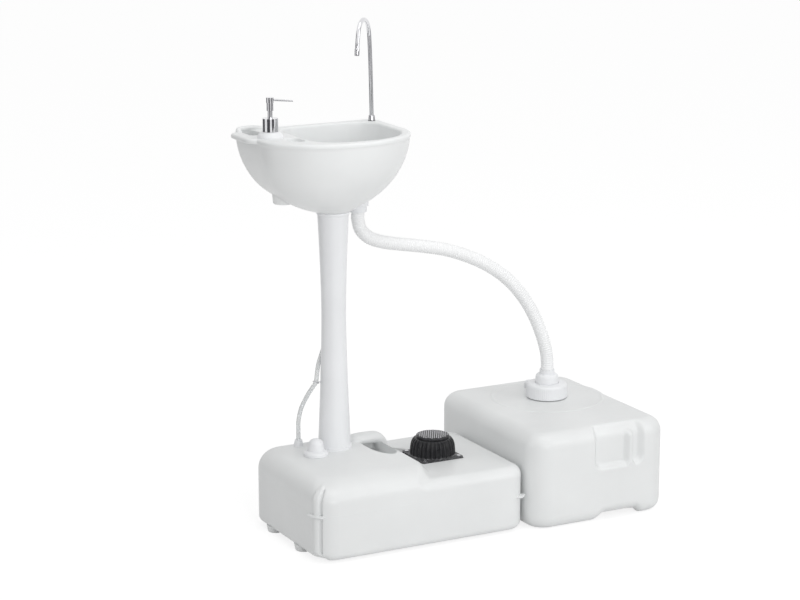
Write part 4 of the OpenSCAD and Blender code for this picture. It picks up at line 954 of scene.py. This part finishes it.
def bellows():
    """Fluted rubber wall, from the flange up to the tread"""
    n = FLUTES * STEPS_PER_FLUTE
    flutes = [wave(2 * math.pi * j * FLUTES / n) ** 1.4 for j in range(n)]
    rings = []
    for k in range(25):
        t = k / 24
        r = BELLOWS_TOP_R + BELLOWS_FLARE * math.cos(math.radians(90 * t ** 1.3))
        z = FLANGE_Z + BELLOWS_H * math.sin(math.radians(90 * t))
        radii = [r - FLUTE_DEPTH * flute * (1 - t ** 5) * ease(t / 0.06 + 0.4) for flute in flutes]
        rings.append(level_ring(PUMP_X, PUMP_Y, radii, z))
    for z in (FLANGE_Z + BELLOWS_H, FLANGE_Z):
        rings.append(level_ring(PUMP_X, PUMP_Y, [BELLOWS_BORE_R] * n, z))
    return closed_band(rings)


def tread():
    """Tread with a grid of small round dots on top"""
    parts = [revolve([(0.5, 178.5), (26, 178.5), (26, 176), (33.3, 176), (34, 176.8), (34, 179.9),
                      (33.6, 180.6), (32.8, 181), (0.5, 181)], PUMP_X, PUMP_Y, 96)]
    for row in range(-7, 8):
        for column in range(-7, 8):
            x = (column + 0.5 * (row % 2)) * DOT_PITCH
            y = row * DOT_PITCH * math.sqrt(3) / 2
            if math.hypot(x, y) < DOT_REACH:
                parts.append(revolve([(1.75, 180.8), (1.65, 181.4), (1.3, 181.9), (0.6, 182.2)],
                                     PUMP_X + x, PUMP_Y + y, 10))
    return merged(bpy.data.meshes.new("tread"), *parts)


def coil(name, node, joint, keep, cx, cy, r, wire, z0, z1, turns, steps=36):
    """Steel spring: a coil of wire round an upright axis"""
    n = turns * steps
    points = [Vector((*polar(cx, cy, r, 2 * math.pi * k / steps),
                      z0 + wire + (z1 - z0 - 2 * wire) * k / n)) for k in range(n + 1)]
    obj = piece(name, sweep(points, [wire] * len(points), 10, (0, 0, 1)), "steel", "stand", node,
                sharp=60)
    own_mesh(obj)


pump_wall = piece("pump_bellows_fluted", bellows(), "black_rubber", "stand", "pump_bellows",
                  sharp=60)
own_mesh(pump_wall)
piece("pump_tread_dotted", tread(), "black_plastic", "tread", "pump_tread", sharp=50,
      material=DOTTED)
coil("pump_return_spring", "pump_spring", "foot_pump", 0.34, PUMP_X, PUMP_Y, r=18, wire=1.3,
     z0=FLANGE_Z, z1=177.2, turns=4)
coil("soap_return_spring", "soap_spring", "soap_press", 0.55, *SOAP, r=3.6, wire=0.6,
     z0=788, z1=820, turns=6)

# ------------------------------------------------------------------ floor, world and lamps

FLOOR_REACH = 12                       # metres
FLOOR_LIT, FLOOR_SEEN, FLOOR_GLOW = 0.74, 0.30, 0.80
WORLD_FILL, WORLD_SEEN = 0.60, 1.0
LAMP_TARGET = Vector((0.0, 0.0, 0.45))
FLAG_R, FLAG_LOW, FLAG_HIGH, FLAG_STEPS = 1.7, 0.02, 1.5, 12
FLAG_TURNS = ((-115, -78), (-50, -12), (12, 50), (78, 115))    # degrees from the camera's side


def grey(value):
    return (value, value, value, 1)


def shader(tree, kind, *linked, **values):
    """Output of a new shader node, its first inputs linked in order and others set by name"""
    node = tree.nodes.new("ShaderNode" + kind)
    for socket, source in zip(node.inputs, linked):
        tree.links.new(source, socket)
    for name, value in values.items():
        node.inputs[name].default_value = value
    return node.outputs[0]


def seen_directly(tree):
    """1 for what the camera sees, by itself, in a mirror or through something clear"""
    rays = tree.nodes.new("ShaderNodeLightPath").outputs
    seen = rays["Is Camera Ray"]
    for kind in ("Is Glossy Ray", "Is Transmission Ray"):
        most = tree.nodes.new("ShaderNodeMath")
        most.operation = "MAXIMUM"
        tree.links.new(seen, most.inputs[0])
        tree.links.new(rays[kind], most.inputs[1])
        seen = most.outputs[0]
    return seen


def lamp(name, direction, distance, size, power):
    data = bpy.data.lights.new(name, "AREA")
    data.shape = "RECTANGLE"
    data.size, data.size_y = size, size
    data.energy = power
    obj = added(name, data)
    obj.location = LAMP_TARGET + Vector(direction).normalized() * distance
    obj.rotation_euler = (LAMP_TARGET - obj.location).to_track_quat("-Z", "Y").to_euler()


corners = [(x * FLOOR_REACH, y * FLOOR_REACH, 0) for x, y in ((-1, -1), (1, -1), (1, 1), (-1, 1))]
floor = added("floor", metre_mesh("floor", corners, [(0, 1, 2, 3)]))
floor_pale = bpy.data.materials.new("floor_pale")
floor_pale.use_nodes = True
tree = floor_pale.node_tree
shown = shader(tree, "AddShader", shader(tree, "BsdfDiffuse", Color=grey(FLOOR_SEEN)),
               shader(tree, "Emission", Strength=FLOOR_GLOW))
surface = shader(tree, "MixShader", seen_directly(tree),
                 shader(tree, "BsdfDiffuse", Color=grey(FLOOR_LIT)), shown)
tree.links.new(surface, tree.nodes["Material Output"].inputs["Surface"])
floor.data.materials.append(floor_pale)

world = bpy.data.worlds.new("studio")
bpy.context.scene.world = world
world.use_nodes = True
tree = world.node_tree
tree.nodes.clear()
surface = shader(tree, "MixShader", seen_directly(tree),
                 shader(tree, "Background", Color=grey(1), Strength=WORLD_FILL),
                 shader(tree, "Background", Color=grey(1), Strength=WORLD_SEEN))
tree.links.new(surface, tree.nodes.new("ShaderNodeOutputWorld").inputs["Surface"])

lamp("key_right", (0.577, -0.72, 0.385), 3.4, 1.3, 14)
lamp("key_left", (-0.20, -0.95, 0.20), 3.4, 1.1, 27)
lamp("top_soft", (0.0, -0.2, 1.0), 3.0, 1.6, 20)

# Dark studio flags that only reflections see, so that chrome has its dark bands
flag_black = bpy.data.materials.new("flag_black")
flag_black.use_nodes = True
flag_inputs = flag_black.node_tree.nodes["Principled BSDF"].inputs
flag_inputs["Base Color"].default_value = (0.10, 0.10, 0.11, 1)
flag_inputs["Roughness"].default_value = 1.0
towards_camera = math.atan2(CAMERA[1], CAMERA[0])
for i, (start, end) in enumerate(FLAG_TURNS):
    points = []
    for k in range(FLAG_STEPS + 1):
        turn = towards_camera + math.radians(start + (end - start) * k / FLAG_STEPS)
        points += [(*polar(0, 0, FLAG_R, turn), z) for z in (FLAG_LOW, FLAG_HIGH)]
    faces = [(2 * k, 2 * k + 2, 2 * k + 3, 2 * k + 1) for k in range(FLAG_STEPS)]
    flag = added(f"flag_{i}", metre_mesh(f"flag_{i}", points, faces))
    flag.data.materials.append(flag_black)
    for kind in ("camera", "diffuse", "transmission", "volume_scatter", "shadow"):
        setattr(flag, f"visible_{kind}", False)

bpy.context.scene.view_settings.view_transform = "Standard"
